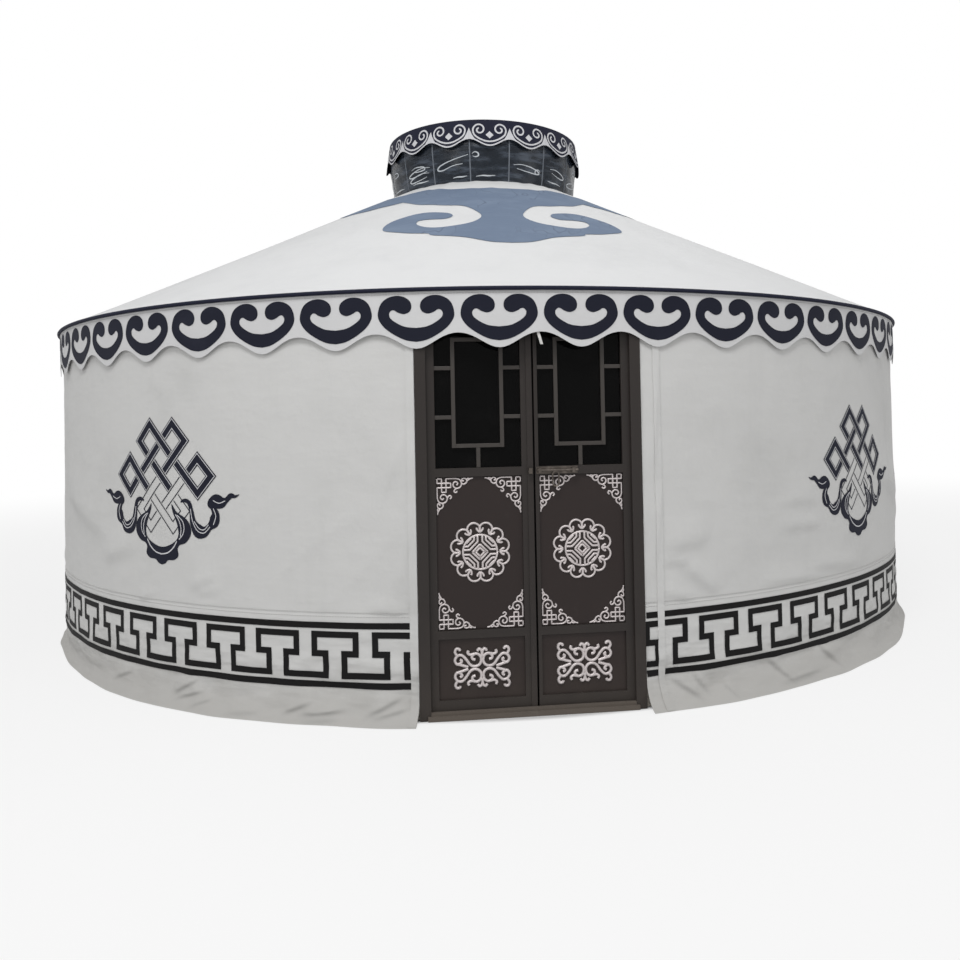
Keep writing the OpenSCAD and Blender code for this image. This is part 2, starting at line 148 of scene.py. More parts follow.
class Paint(Tree):
    """One material and the nodes that make it."""

    def __init__(self, name):
        self.material = bpy.data.materials.new(name)
        self.material.use_nodes = True
        super().__init__(self.material.node_tree)
        self.shader = self.nodes["Principled BSDF"]

    def set(self, **values):
        """Sets the surface's sockets, named with underscores for spaces."""
        for key, value in values.items():
            self.put(self.shader.inputs[key.replace("_", " ")], rgba(value))
        return self.material

    def place(self, scale=(1, 1, 1), turn=(0, 0, 0), source="Object"):
        spot = self.add("ShaderNodeTexCoord", out=source)
        return self.add("ShaderNodeMapping", {}, {"Vector": spot, "Rotation": turn, "Scale": scale})

    def cloudy(self, scale, detail=4.0, rough=0.55, at=None):
        return self.add("ShaderNodeTexNoise", {}, {"Vector": at or self.place(), "Scale": scale,
                                                   "Detail": detail, "Roughness": rough})

    def ramp(self, value, low, high):
        return self.add("ShaderNodeMapRange", {"interpolation_type": "SMOOTHSTEP"},
                        {"Value": value, "From Min": low, "From Max": high})

    def blend(self, amount, first, second):
        """Two colours mixed; the places are those of the node's colour sockets."""
        return self.add("ShaderNodeMix", {"data_type": "RGBA"}, {0: amount, 6: rgba(first), 7: rgba(second)}, out=2)

    def height(self):
        """Height over the ground, in metres."""
        return self.add("ShaderNodeSeparateXYZ", {}, [self.add("ShaderNodeTexCoord", out="Object")], out="Z")

    def bumps(self, height, strength, distance, under=None):
        values = {"Strength": strength, "Distance": distance, "Height": height}
        if under is not None:
            values["Normal"] = under
        return self.add("ShaderNodeBump", {}, values)


def weave(paint, pitch):
    """Height of a plain weave in the piece's own UV, which is in metres."""
    uv = paint.add("ShaderNodeTexCoord", out="UV")
    across, along = (paint.add("ShaderNodeTexWave", {"bands_direction": way}, {"Vector": uv, "Scale": 0.314 / pitch})
                     for way in "XY")
    return across * (along + 0.2)


def canvas_finish(name, colour, soiled, ground_dirt_and_fold_shade):
    """White tent canvas: soft stains, weathering, a plain weave and small creases; on the wall also dirt splashed up
    from the ground and painted shade along its folds.
    """
    p = Paint(name)
    stain = p.ramp(p.cloudy(1.7, 6.0, 0.62), 0.48, 0.78)
    rain = p.ramp(p.cloudy(3.2, 5.0, 0.6, p.place((2.2, 2.2, 0.22))), 0.5, 0.8)
    tone = p.blend(stain * 0.55 + rain * 0.3, colour, soiled)
    if ground_dirt_and_fold_shade:
        height = p.height()
        splash = p.cloudy(5.0, 6.0, 0.65) * 0.22 + 0.02
        tone = p.blend(p.ramp(splash - height, -0.11, 0.09) * 0.85, tone, (0.462, 0.452, 0.432))
        # Painted shade: the canvas colour darkened along the lower side of each fold, where shade falls.
        painted_fold_shade = p.add("ShaderNodeAttribute", {"attribute_name": "fold_shade"}, out="Fac")
        tone = p.blend(painted_fold_shade * 0.42, tone, (0.30, 0.295, 0.285))
    crease = p.add("ShaderNodeTexNoise", {"noise_type": "RIDGED_MULTIFRACTAL"},
                   {"Vector": p.place((1.0, 1.0, 1.5), (0.5, 0.3, 0.2)), "Scale": 2.1, "Detail": 3.0})
    soft = p.bumps(p.cloudy(9.0, 4.0, 0.5), 0.22, 0.02)
    if ground_dirt_and_fold_shade:
        fold = p.cloudy(1.0, 2.5, 0.5, p.place((3.2, 11.0, 1.0), (0, 0, 0.55), "UV"))
        low = p.ramp(height, 0.50, 0.12)
        soft = p.bumps(fold * (low * 0.88 + 0.12), 0.6, 0.05, soft)
    folds = p.bumps(crease, 0.10, 0.02, soft)
    return p.set(Base_Color=tone, Roughness=p.ramp(stain, 0, 1) * 0.08 + 0.74, Sheen_Weight=0.12,
                 Specular_IOR_Level=0.28, Normal=p.bumps(weave(p, 0.0011), 0.25, 0.0006, folds))


def print_finish(name, colour, worn):
    """Ink on canvas, a little faded where the cloth rubs."""
    p = Paint(name)
    faded = p.ramp(p.cloudy(4.0, 6.0, 0.65), 0.5, 0.85)
    grit = p.bumps(p.cloudy(900.0, 2.0), 0.12, 0.0006)
    return p.set(Base_Color=p.blend(faded * 0.6, colour, worn), Roughness=faded * 0.12 + 0.74,
                 Specular_IOR_Level=0.14, Normal=grit)


def creased_print(name, colour, worn, fold):
    """Ink on a cloth that was folded for carriage: faint lines where it creased, darkened with painted shade and
    bumped, and paler patches.
    """
    p = Paint(name)
    patch = p.ramp(p.cloudy(2.6, 5.0, 0.6, p.place((1.0, 1.6, 1.0), (0.0, 0.0, 0.5))), 0.42, 0.70)
    bent = p.cloudy(2.4, 2.0, 0.5, p.place((2.6, 1.0, 1.0), (0.0, 0.0, -0.35))) - 0.5
    line = p.ramp(p.add("ShaderNodeMath", {"operation": "ABSOLUTE"}, [bent]), 0.018, 0.0) * patch
    # Painted shade: the crease lines are darkened towards the fold colour.
    tone = p.blend(line * 0.8, p.blend(patch * 0.8, colour, worn), fold)
    return p.set(Base_Color=tone, Roughness=patch * 0.12 + 0.74, Specular_IOR_Level=0.14,
                 Normal=p.bumps(line, 0.45, 0.006, p.bumps(p.cloudy(12.0, 4.0), 0.35, 0.012)))


def felt_finish():
    p = Paint("felt_lining")
    fuzz = p.cloudy(60.0, 8.0, 0.75)
    tone = p.blend(p.ramp(p.cloudy(3.0, 6.0), 0.35, 0.7), (0.62, 0.58, 0.52), (0.50, 0.46, 0.40))
    return p.set(Base_Color=tone, Roughness=0.95, Sheen_Weight=0.3, Normal=p.bumps(fuzz, 0.5, 0.004))


def wood_finish(name, pale, dark, grain_scale):
    """Varnished softwood with long grain, worn paler in places."""
    p = Paint(name)
    at = p.place(grain_scale)
    warp = p.cloudy(2.0, 3.0, at=at)
    grain = p.add("ShaderNodeTexNoise", {}, {"Vector": at, "Scale": 9.0, "Detail": 6.0, "Distortion": 1.2})
    fibre = p.cloudy(70.0, 4.0, at=at)
    tone = p.blend(p.ramp(grain, 0.35, 0.68), pale, dark)
    tone = p.blend(p.ramp(fibre, 0.55, 0.8) * 0.35, tone, tuple(0.6 * part for part in dark))
    return p.set(Base_Color=tone, Roughness=warp * 0.2 + 0.38, Coat_Weight=0.12,
                 Normal=p.bumps(fibre, 0.18, 0.0012))


def painted_steel(name, colour, edge, rough):
    """Satin paint on steel, with orange peel, dust on the lower part and rubbed spots."""
    p = Paint(name)
    rubbed = p.ramp(p.cloudy(14.0, 6.0, 0.7), 0.58, 0.8)
    dust = p.ramp(p.cloudy(9.0, 5.0) * 0.5 - p.height(), -0.15, 0.35)
    tone = p.blend(rubbed * 0.5, colour, edge)
    tone = p.blend(dust * 0.10, tone, (0.20, 0.17, 0.14))
    return p.set(Base_Color=tone, Roughness=rubbed * 0.15 + dust * 0.2 + rough,
                 Specular_IOR_Level=0.25, Normal=p.bumps(p.cloudy(380.0, 2.0), 0.12, 0.0008))


def bare_metal(name, colour, rough, wear):
    p = Paint(name)
    rub = p.cloudy(90.0, 5.0, 0.6, p.place((1.0, 1.0, 6.0)))
    tone = p.blend(p.ramp(p.cloudy(25.0, 6.0), 0.5, 0.75), colour, wear)
    return p.set(Base_Color=tone, Metallic=0.75, Roughness=rub * 0.22 + rough, Normal=p.bumps(rub, 0.1, 0.0006))


def film_finish():
    """Soft clear film with a cockled surface, coloured dark and nearly opaque as painted shade of the dark inside
    behind it.
    """
    p = Paint("crown_film")
    cockle = p.cloudy(7.0, 3.0, 0.5, p.place((1.0, 1.0, 1.8)))
    haze = p.ramp(p.cloudy(6.0, 6.0, 0.6, p.place((1.0, 1.0, 5.0), (0.06, 0.04, 0.0))), 0.42, 0.72)
    # Painted shade: near-black colour for the dark inside seen through the film, varied by haze.
    tone = p.blend(haze, (0.019, 0.024, 0.032), (0.082, 0.098, 0.124))
    return p.set(Base_Color=tone, Roughness=haze * 0.14 + 0.20, Specular_IOR_Level=0.16,
                 Alpha=haze * 0.08 + 0.86, Normal=p.bumps(cockle, 0.25, 0.010))


def glass_finish():
    p = Paint("door_glass")
    smear = p.ramp(p.cloudy(6.0, 6.0, 0.7), 0.5, 0.8)
    # Painted shade: the pane is near black and nearly opaque for the dark inside behind it, with faint smears.
    return p.set(Base_Color=p.blend(smear * 0.4, (0.003, 0.003, 0.003), (0.010, 0.009, 0.009)),
                 Roughness=smear * 0.10 + 0.05, Specular_IOR_Level=0.05,
                 Alpha=smear * 0.03 + 0.95)


WALL_CANVAS = canvas_finish("wall_canvas", (0.640, 0.638, 0.628), (0.545, 0.545, 0.535), True)
ROOF_CANVAS = canvas_finish("roof_canvas", (0.655, 0.660, 0.664), (0.580, 0.586, 0.592), False)
VALANCE_CANVAS = canvas_finish("valance_canvas", (0.650, 0.650, 0.655), (0.570, 0.570, 0.575), False)
TIE_TAPE = canvas_finish("tie_tape", (0.70, 0.69, 0.67), (0.60, 0.59, 0.57), False)
NAVY_PRINT = print_finish("navy_print", (0.0115, 0.0128, 0.0230), (0.034, 0.037, 0.055))
BLACK_PRINT = print_finish("black_print", (0.0070, 0.0066, 0.0068), (0.020, 0.020, 0.023))
# The last colour is painted shade for the cloud print's crease lines.
SLATE_PRINT = creased_print("slate_print", (0.132, 0.176, 0.252), (0.186, 0.236, 0.318), (0.085, 0.112, 0.165))
WHITE_PRINT = print_finish("white_print", (0.62, 0.62, 0.64), (0.52, 0.52, 0.55))
NAVY_CLOTH = print_finish("navy_cloth", (0.0140, 0.0155, 0.0300), (0.030, 0.034, 0.055))
THREAD = print_finish("thread", (0.575, 0.570, 0.560), (0.50, 0.49, 0.48))
FELT = felt_finish()
LATTICE_WOOD = wood_finish("lattice_wood", (0.42, 0.24, 0.11), (0.26, 0.13, 0.055), (3.0, 3.0, 0.8))
FRAME_WOOD = wood_finish("frame_wood", (0.36, 0.17, 0.07), (0.20, 0.085, 0.035), (1.2, 1.2, 3.0))
DOOR_PAINT = painted_steel("door_paint", (0.0270, 0.0222, 0.0202), (0.052, 0.045, 0.041), 0.42)
BAR_PAINT = painted_steel("window_bar_paint", (0.052, 0.046, 0.042), (0.085, 0.077, 0.070), 0.42)
PANEL_PAINT = painted_steel("door_panel_paint", (0.0225, 0.0155, 0.0142), (0.040, 0.031, 0.029), 0.46)
SILL_PAINT = painted_steel("sill_paint", (0.115, 0.097, 0.082), (0.21, 0.19, 0.165), 0.55)
ORNAMENT = bare_metal("ornament_silver", (0.555, 0.510, 0.505), 0.40, (0.42, 0.385, 0.380))
BOLT_STEEL = bare_metal("bolt_steel", (0.085, 0.072, 0.062), 0.34, (0.20, 0.17, 0.145))
SEAM_TAPE = print_finish("film_seam_tape", (0.16, 0.175, 0.20), (0.30, 0.32, 0.35))
# Whitish painted highlight lines on the crown film.
FILM_HIGHLIGHT = print_finish("film_painted_highlight", (0.60, 0.63, 0.66), (0.36, 0.39, 0.42))
RUBBER = print_finish("black_rubber", (0.012, 0.012, 0.012), (0.022, 0.021, 0.020))
FILM = film_finish()
GLASS = glass_finish()


# Surfaces: each gives a point for an azimuth, a height or radius, and a lift off the cloth

def turn_of(a):
    a = np.radians(a)
    return np.sin(a), -np.cos(a)


def round_points(a, r, z):
    """Points at azimuths, radii and heights that go together."""
    a, r, z = np.broadcast_arrays(np.asarray(a, float), r, z)
    s, c = turn_of(a)
    return np.stack([r * s, r * c, z], axis=-1)


def each(ripple, a, v):
    """A ripple at every point of two equal arrays."""
    a, v = np.broadcast_arrays(np.asarray(a, float), np.asarray(v, float))
    return np.array([ripple(p, q) for p, q in zip(a.ravel(), v.ravel())]).reshape(a.shape)


def ease(value, low, high):
    t = min(max((value - low) / (high - low), 0.0), 1.0)
    return t * t * (3 - 2 * t)


# Folds of the wall canvas: azimuth and height of both ends, half width and depth
DOOR_FOLDS = ((-13.1, 0.856, -11.0, 1.054, 0.012, 0.0050), (-11.7, 0.500, -10.9, 0.700, 0.012, 0.0045),
              (11.2, 0.930, 11.7, 1.300, 0.013, 0.0045), (11.2, 0.560, 11.9, 0.860, 0.013, 0.0040))
WALL_FOLDS = (
    (12.9, 0.105, 15.3, 0.032, 0.022, 0.0137), (15.0, 0.113, 16.2, 0.043, 0.019, 0.0112),
    (18.1, 0.061, 18.9, 0.014, 0.017, 0.0075), (23.8, 0.119, 25.9, 0.029, 0.020, 0.0137),
    (24.6, 0.030, 29.9, 0.037, 0.020, 0.0125), (31.4, 0.120, 33.5, 0.035, 0.020, 0.0125),
    (14.0, 0.553, 17.7, 0.429, 0.030, 0.0117), (12.0, 0.562, 14.5, 0.556, 0.016, 0.0078),
    (12.0, 0.452, 14.7, 0.407, 0.018, 0.0078), (23.4, 0.440, 31.2, 0.424, 0.020, 0.0078),
    (26.3, 0.662, 31.9, 0.650, 0.027, 0.0078), (26.1, 0.769, 31.6, 0.764, 0.033, 0.0065),
    (12.0, 0.622, 16.7, 0.656, 0.043, 0.0104), (31.3, 0.468, 39.6, 0.442, 0.025, 0.0078),
    (-34.9, 0.052, -32.4, 0.111, 0.020, 0.0137), (-34.3, 0.036, -31.3, 0.073, 0.017, 0.0112),
    (-32.0, 0.024, -30.2, 0.050, 0.017, 0.0100), (-22.3, 0.034, -20.0, 0.070, 0.020, 0.0137),
    (-20.6, 0.034, -16.8, 0.050, 0.019, 0.0137), (-20.0, 0.018, -17.1, 0.024, 0.017, 0.0088),
    (-14.7, 0.036, -11.8, 0.095, 0.020, 0.0137), (-14.0, 0.030, -11.1, 0.058, 0.017, 0.0112),
    (-44.7, 0.050, -42.0, 0.092, 0.020, 0.0112), (-27.6, 0.022, -24.5, 0.030, 0.017, 0.0075),
    (-33.2, 0.473, -30.0, 0.532, 0.022, 0.0078), (-32.2, 0.454, -29.2, 0.478, 0.015, 0.0065),
    (-40.7, 0.405, -38.2, 0.435, 0.018, 0.0065), (-60.3, 0.840, -46.9, 0.675, 0.062, 0.0130),
    (-47.6, 0.561, -41.4, 0.640, 0.045, 0.0104), (-14.4, 0.424, -11.3, 0.412, 0.016, 0.0065))


def folds_by_sector():
    """The folds near the door, and turned copies of the others for the far sides, by sector of the wall."""
    table = {}
    for turn in (0, 108, 180, 252):
        for a0, z0, a1, z1, wide, deep in WALL_FOLDS + (() if turn else DOOR_FOLDS):
            first, last = (math.floor(a / SECTOR) for a in (a0 + turn - 3, a1 + turn + 3))
            for sector in range(first, last + 1):
                fold = a0 + turn, z0, a1 + turn, z1, wide, deep
                table.setdefault(sector % (360 // SECTOR), []).append(fold)
    return table


FOLDS = folds_by_sector()


def fold_height(a, z, shade=False):
    """Rise of the canvas in its folds, steep below a fold's line and easy above it, or, with shade, the painted shade
    under them.
    """
    rise = 0.0
    for a0, z0, a1, z1, wide, deep in FOLDS.get(int(a % 360 // SECTOR), ()):
        across, up = math.radians(a1 - a0) * WALL_R, z1 - z0
        x, y = math.radians((a - a0 + 180) % 360 - 180) * WALL_R, z - z0
        long = math.hypot(across, up)
        t = (x * across + y * up) / long ** 2
        off = (y * across - x * up) / long
        if -0.2 < t < 1.2 and abs(off) < 5 * wide:
            along = ease(t, -0.2, 0.35) * ease(1.2 - t, 0.0, 0.55)
            hem_fold = z0 < 0.2
            # With shade: a band of painted shade below each fold's line, much darker on the hem.
            if shade:
                dark, under, spread = (105.0, 0.62, 0.42) if hem_fold else (18.0, 0.9, 0.7)
                rise += dark * deep * math.exp(-((off + under * wide) / (spread * wide)) ** 2) * along
            else:
                steep = 0.55 if hem_fold else 0.8
                rise += deep * math.exp(-(off / (wide * (1.9 if off > 0 else steep))) ** 2) * along
    return rise


def wall_ripple(a, z):
    """How far the wall canvas stands off its true round, in metres."""
    x, y = WALL_R * math.sin(math.radians(a)), WALL_R * math.cos(math.radians(a))
    broad = noise.noise((1.5 * x, 1.5 * y, 1.1 * z + 3.1)) * 0.0042
    drag = noise.noise((3.1 * x + 1.6 * z, 3.1 * y + 1.6 * z, 2.2 * z)) * 0.0016
    side = abs((a + 180) % 360 - 180) - DOOR_A
    pull = math.exp(-side / 5.0) * math.sin(26 * z + 0.9 * side) * 0.0016
    crease = max(0.0, 1 - 6 * abs(noise.noise((2.3 * x - 2.0 * z, 2.3 * y, 2.6 * z + 9)))) * 0.0016
    seam = -0.0014 * math.exp(-((z - 0.400) / 0.006) ** 2)
    hem = ease(0.15 - z, 0.0, 0.15)
    folds = noise.noise((4.6 * x + 5 * z, 4.6 * y + 5 * z, 4 * z)) * 0.012 * hem
    arc = math.radians((a + 180) % 360 - 180) * WALL_R
    near = math.exp(-side / 14)
    slant = noise.noise((5.5 * arc + 9 * z, 15 * z - 3.5 * arc, 2.7))
    low = ease(0.34 - z, 0.0, 0.24) * ease(z, 0.0, 0.03)
    crumple = slant * (0.0060 + 0.0075 * near) * low
    drawn_in = 0.046 - 0.008 * math.sin(math.radians(a))
    tuck = ease(side, 25, 52) * drawn_in * ease(FLARE_H - z, 0.0, FLARE_H) ** 1.3
    snug = 1 - 0.8 * ease(z, 1.30, 1.42)
    return (broad + drag + (pull + crease) * (1 - hem)) * snug + seam + folds + crumple - tuck + fold_height(a, z)


def true_wall(a, z, lift=0.0):
    return round_points(a, WALL_R + lift, z)


def wall(a, z, lift=0.0):
    """The wall canvas, flared at its foot."""
    below = np.clip(FLARE_H - z, 0, None)
    flare = FLARE_ARC - np.sqrt(np.clip(FLARE_ARC ** 2 - below ** 2, 0, None))
    return true_wall(a, z, flare + each(wall_ripple, a, z) + lift)


def roof_ripple(a, r):
    """Sag between the poles and soft drag lines on the roof canvas."""
    x, y = r * math.sin(math.radians(a)), r * math.cos(math.radians(a))
    span = ease(r, 0.7, 1.5) * ease(2.52 - r, 0.0, 0.25)
    sag = (math.cos(math.radians(a * 40)) - 1) * 0.0016 * span
    soft = noise.noise((1.3 * x, 1.3 * y, 0.4)) * 0.006 * span
    gather = noise.noise((9.0 * x / r, 9.0 * y / r, 1.1 * r + 5.0)) * 0.006 * ease(1.15 - r, 0.0, 0.5)
    return sag + soft + gather


def true_roof(a, r, lift=0.0):
    out = r + lift * math.sin(ROOF_TILT)
    return round_points(a, out, EAVE_Z + (EAVE_R - r) * ROOF_RISE + lift * math.cos(ROOF_TILT))


def roof(a, r, lift=0.0):
    return true_roof(a, r, each(roof_ripple, a, r) + lift)


def scallop_edge(a):
    """Lower edge of the eave valance: round tips between softly arched notches."""
    phase = ((a - SCALLOP_TURN) * SCALLOPS / 360) % 1.0
    wave = 0.5 - 0.5 * math.cos(2 * math.pi * phase)
    return VALANCE_NOTCH - (VALANCE_NOTCH - VALANCE_TIP) * (0.75 * wave + 0.25 * wave * wave)


def valance_ripple(a, z):
    """The hang of the valance: it stands off a little at the tips and sways from scallop to scallop."""
    phase = ((a - SCALLOP_TURN) * SCALLOPS / 360) % 1.0
    drop = ease(VALANCE_TOP - z, 0.02, 0.22)
    belly = 0.0025 * drop * math.cos(2 * math.pi * phase)
    x, y = math.sin(math.radians(a)), math.cos(math.radians(a))
    sway = noise.noise((6.5 * x, 6.5 * y, 0.7)) * 0.005 * drop
    return belly + sway - 0.0015 * drop


def true_valance(a, z, lift=0.0):
    return round_points(a, VALANCE_R + lift, z)


def valance(a, z, lift=0.0):
    return true_valance(a, z, each(valance_ripple, a, z) + lift)


def crown_edge(a):
    phase = (a * CROWN_SCALLOPS / 360) % 1.0
    wave = 0.5 + 0.5 * math.cos(2 * math.pi * phase)
    return HANG_TIP + 0.046 * (1 - wave)


def hang_ripple(a, z):
    x, y = math.sin(math.radians(a)), math.cos(math.radians(a))
    return noise.noise((3.0 * x, 3.0 * y, 3.0 * z)) * 0.005 * ease(HANG_Z - z, 0.0, HANG_Z - HANG_TIP)


def true_hang(a, z, lift=0.0):
    """The crown valance, leaning out towards its tips."""
    return round_points(a, HANG_R + 0.002 + HANG_FLARE * (HANG_Z - z) / (HANG_Z - HANG_TIP) + lift, z)


def crown_hang(a, z, lift=0.0):
    return true_hang(a, z, each(hang_ripple, a, z) + lift)


def film_skin(a, z, lift=0.0):
    """Crown film: slack between its upright seams."""
    t = np.clip((z - FILM_FOOT) / (FILM_TOP - FILM_FOOT), 0, 1)
    return round_points(a, 0.5850 + 0.0298 * np.minimum(1.6 * t, 1.0) ** 0.8 + each(film_ripple, a, z) + lift, z)


def film_ripple(a, z):
    """Puckers across each pane, held flat along its seams."""
    turn = a * CROWN_SCALLOPS / 360 + 0.5
    pane = math.floor(turn) % CROWN_SCALLOPS
    u = (turn - math.floor(turn) - 0.5) * 0.238
    hold = ease(z, 2.585, 2.62) * ease(FILM_TOP - z, 0.0, 0.05) * ease(0.119 - abs(u), 0.0, 0.02)
    soft = noise.noise((9.0 * u + 7 * pane, 14.0 * z + 4.0 * u, 1.0 + pane)) * 0.006
    return hold * soft + 0.002


def rib_sink(a, r):
    """How far the cap sinks between its eight ribs."""
    return (math.cos(math.radians(8 * a)) - 1) * 0.0022 * math.sin(math.pi * min(r / CAP_R, 1.0))


def cap_top(a, r, lift=0.0):
    """The crown cap: a low dome with soft gores over its ribs."""
    ball = (CAP_R ** 2 + CAP_RISE ** 2) / (2 * CAP_RISE)
    return round_points(a, r, HANG_Z + CAP_RISE - ball + np.sqrt(ball ** 2 - r ** 2) + each(rib_sink, a, r) + lift)


# Mesh making

def piece(name, mesh, material, body="shell", smooth=True):
    """Puts a finished mesh in the scene, riding on a body."""
    mesh.materials.clear()
    mesh.materials.append(material)
    mesh.polygons.foreach_set("use_smooth", [smooth] * len(mesh.polygons))
    obj = bpy.data.objects.new(name, mesh)
    bpy.context.scene.collection.objects.link(obj)
    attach(obj, body)
    return obj


def mesh_from(name, verts, faces, uv=None):
    mesh = bpy.data.meshes.new(name)
    mesh.from_pydata([tuple(v) for v in verts], [], [tuple(f) for f in faces])
    if uv is not None:
        layer = mesh.uv_layers.new(name="cloth")
        corner = np.zeros(len(mesh.loops), dtype=np.int32)
        mesh.loops.foreach_get("vertex_index", corner)
        layer.data.foreach_set("uv", np.asarray(uv, np.float32)[corner].ravel())
    mesh.validate()
    mesh.update()
    return mesh


def cloth_shell(name, outer, inner, uv, closed):
    """A closed thin sheet from two grids of points; a closed one joins its first and last column."""
    n, m = outer.shape[:2]
    side = n * m
    verts = np.concatenate([outer.reshape(-1, 3), inner.reshape(-1, 3)])
    faces = []
    columns = n if closed else n - 1
    for i in range(columns):
        j = (i + 1) % n
        for k in range(m - 1):
            a, b, c, d = i * m + k, j * m + k, j * m + k + 1, i * m + k + 1
            faces.append((a, b, c, d))
            faces.append((side + d, side + c, side + b, side + a))
        faces.append((side + i * m, side + j * m, j * m, i * m))
        top, across = i * m + m - 1, j * m + m - 1
        faces.append((top, across, side + across, side + top))
    if not closed:
        for k in range(m - 1):
            faces.append((k, k + 1, side + k + 1, side + k))
            last = (n - 1) * m + k
            faces.append((last + 1, last, side + last, side + last + 1))
    mesh = mesh_from(name, verts, faces, np.concatenate([uv.reshape(-1, 2)] * 2))
    mesh.set_sharp_from_angle(angle=1.05)
    return mesh


def grid(columns, rows):
    return np.meshgrid(columns, rows, indexing="ij")


def cloth_uv(a, v, per_degree):
    """Places on the cloth in metres, for its weave."""
    return np.stack([a * per_degree, v], axis=-1)


def turned_rim(columns, steps):
    """Rings of points at the radii and heights of the steps, in the order of a cloth's grid."""
    return np.stack([round_points(columns, r, z) for r, z in steps], axis=1)


def scalloped_cloth(name, columns, edge, top, rows, surface, per_degree):
    """A closed ring of thin cloth that hangs from its top down to a cut edge."""
    low = np.array([edge(a) for a in columns])[:, None]
    a = np.repeat(columns[:, None], rows, 1)
    z = low + (top - low) * np.linspace(0, 1, rows)
    return cloth_shell(name, surface(a, z), surface(a, z, -VALANCE_T), cloth_uv(a, z, per_degree), True)


def open_strip(name, points):
    """One layer of faces over a grid of points."""
    n, m = points.shape[:2]
    faces = [(i * m + k, (i + 1) * m + k, (i + 1) * m + k + 1, i * m + k + 1)
             for i in range(n - 1) for k in range(m - 1)]
    return mesh_from(name, points.reshape(-1, 3), faces)


def joined(meshes):
    """One mesh out of several."""
    work = bmesh.new()
    for mesh in meshes:
        work.from_mesh(mesh)
    work.to_mesh(meshes[0])
    work.free()
    return meshes[0]


def inside(outlines, points):
    """Even-odd test of many points against closed outlines."""
    points = np.asarray(points, float)
    odd = np.zeros(len(points), bool)
    for line in outlines:
        p = np.asarray(line, float)
        q = np.roll(p, -1, axis=0)
        for (x0, y0), (x1, y1) in zip(p, q):
            if y0 == y1:
                continue
            hit = (points[:, 1] > min(y0, y1)) & (points[:, 1] <= max(y0, y1))
            cross = x0 + (points[:, 1] - y0) * (x1 - x0) / (y1 - y0)
            odd ^= hit & (points[:, 0] < cross)
    return odd


def filled(outlines, cell):
    """Triangles that fill closed outlines, small enough to bend over a surface."""
    verts, edges = [], []
    for line in outlines:
        first = len(verts)
        p = np.asarray(line, float)
        for s, e in zip(p, np.roll(p, -1, axis=0)):
            steps = max(1, int(math.ceil(np.linalg.norm(e - s) / cell)))
            verts += [tuple(s + (e - s) * k / steps) for k in range(steps)]
        count = len(verts) - first
        edges += [(first + k, first + (k + 1) % count) for k in range(count)]
    every = np.concatenate([np.asarray(line, float) for line in outlines])
    low, high = every.min(axis=0), every.max(axis=0)
    gx, gy = np.meshgrid(*(np.arange(low[i] + cell / 2, high[i], cell) for i in (0, 1)))
    spots = np.stack([gx.ravel(), gy.ravel()], axis=1)
    if len(spots):
        spots = spots[inside(outlines, spots)]
        verts += [tuple(s) for s in spots]
    found = geometry.delaunay_2d_cdt([Vector(v) for v in verts], edges, [], 1, 1e-7)
    points = np.array([tuple(v) for v in found[0]])
    faces = np.array([tuple(f) for f in found[2]])
    keep = inside(outlines, points[faces].mean(axis=1))
    faces = faces[keep]
    a, b, c = (points[faces[:, i]] for i in range(3))
    turned = np.cross(b - a, c - a) < 0
    faces[turned] = faces[turned][:, ::-1]
    return points, faces


def stroke(line, width, shut=False, offset=0.0):
    """Outline of a pen line of that width, mitred at its corners; a shut one gives two outlines."""
    p = np.asarray(line, float)
    ahead = np.roll(p, -1, axis=0) - p
    if not shut:
        ahead[-1] = ahead[-2]
    ahead /= np.linalg.norm(ahead, axis=1)[:, None]
    back = np.roll(ahead, 1, axis=0)
    if not shut:
        back[0] = ahead[0]
    normal = np.stack([-(ahead + back)[:, 1], (ahead + back)[:, 0]], axis=1)
    normal /= np.maximum(np.linalg.norm(normal, axis=1), 1e-9)[:, None]
    square = np.stack([-ahead[:, 1], ahead[:, 0]], axis=1)
    reach = 1 / np.maximum(np.einsum("ij,ij->i", normal, square), 0.35)
    left = p + normal * (reach * (offset + width / 2))[:, None]
    right = p + normal * (reach * (offset - width / 2))[:, None]
    if shut:
        return [left, right]
    return [np.concatenate([left, right[::-1]])]


def smooth_line(points, shut=False, steps=8):
    """A flowing curve through a few points."""
    p = np.asarray(points, float)
    n = len(p)
    out = []
    for i in range(n if shut else n - 1):
        p0, p1 = p[(i - 1) % n if shut else max(i - 1, 0)], p[i]
        p2, p3 = p[(i + 1) % n], p[(i + 2) % n if shut else min(i + 2, n - 1)]
        for k in range(steps):
            t = k / steps
            out.append(0.5 * (2 * p1 + (p2 - p0) * t + (2 * p0 - 5 * p1 + 4 * p2 - p3) * t * t
                              + (3 * p1 - p0 - 3 * p2 + p3) * t ** 3))
    if not shut:
        out.append(p[-1])
    return np.array(out)


def mirrored(points):
    """A half outline from the middle round to the middle, closed by its mirror image."""
    p = np.asarray(points, float)
    return np.concatenate([p, (p * (-1, 1))[::-1]])


def spiral(centre, r0, r1, start, sweep, steps=28):
    t = np.linspace(0, 1, steps)
    angle = np.radians(start + sweep * t)
    r = r0 + (r1 - r0) * t
    return np.stack([centre[0] + r * np.cos(angle), centre[1] + r * np.sin(angle)], axis=1)


def printed(name, shapes, cell, surface, per_degree, lift, at=0.0):
    """A mesh of flat shapes, in metres across and up, laid on a surface round an azimuth."""
    verts, faces = [], []
    for outlines in shapes:
        points, tris = filled(outlines, cell)
        start = sum(len(v) for v in verts)
        across = per_degree(points[:, 1]) if callable(per_degree) else per_degree
        verts.append(surface(at + points[:, 0] / across, points[:, 1], lift))
        faces.append(tris + start)
    return mesh_from(name, np.concatenate(verts), np.concatenate(faces))


# Geometry Nodes

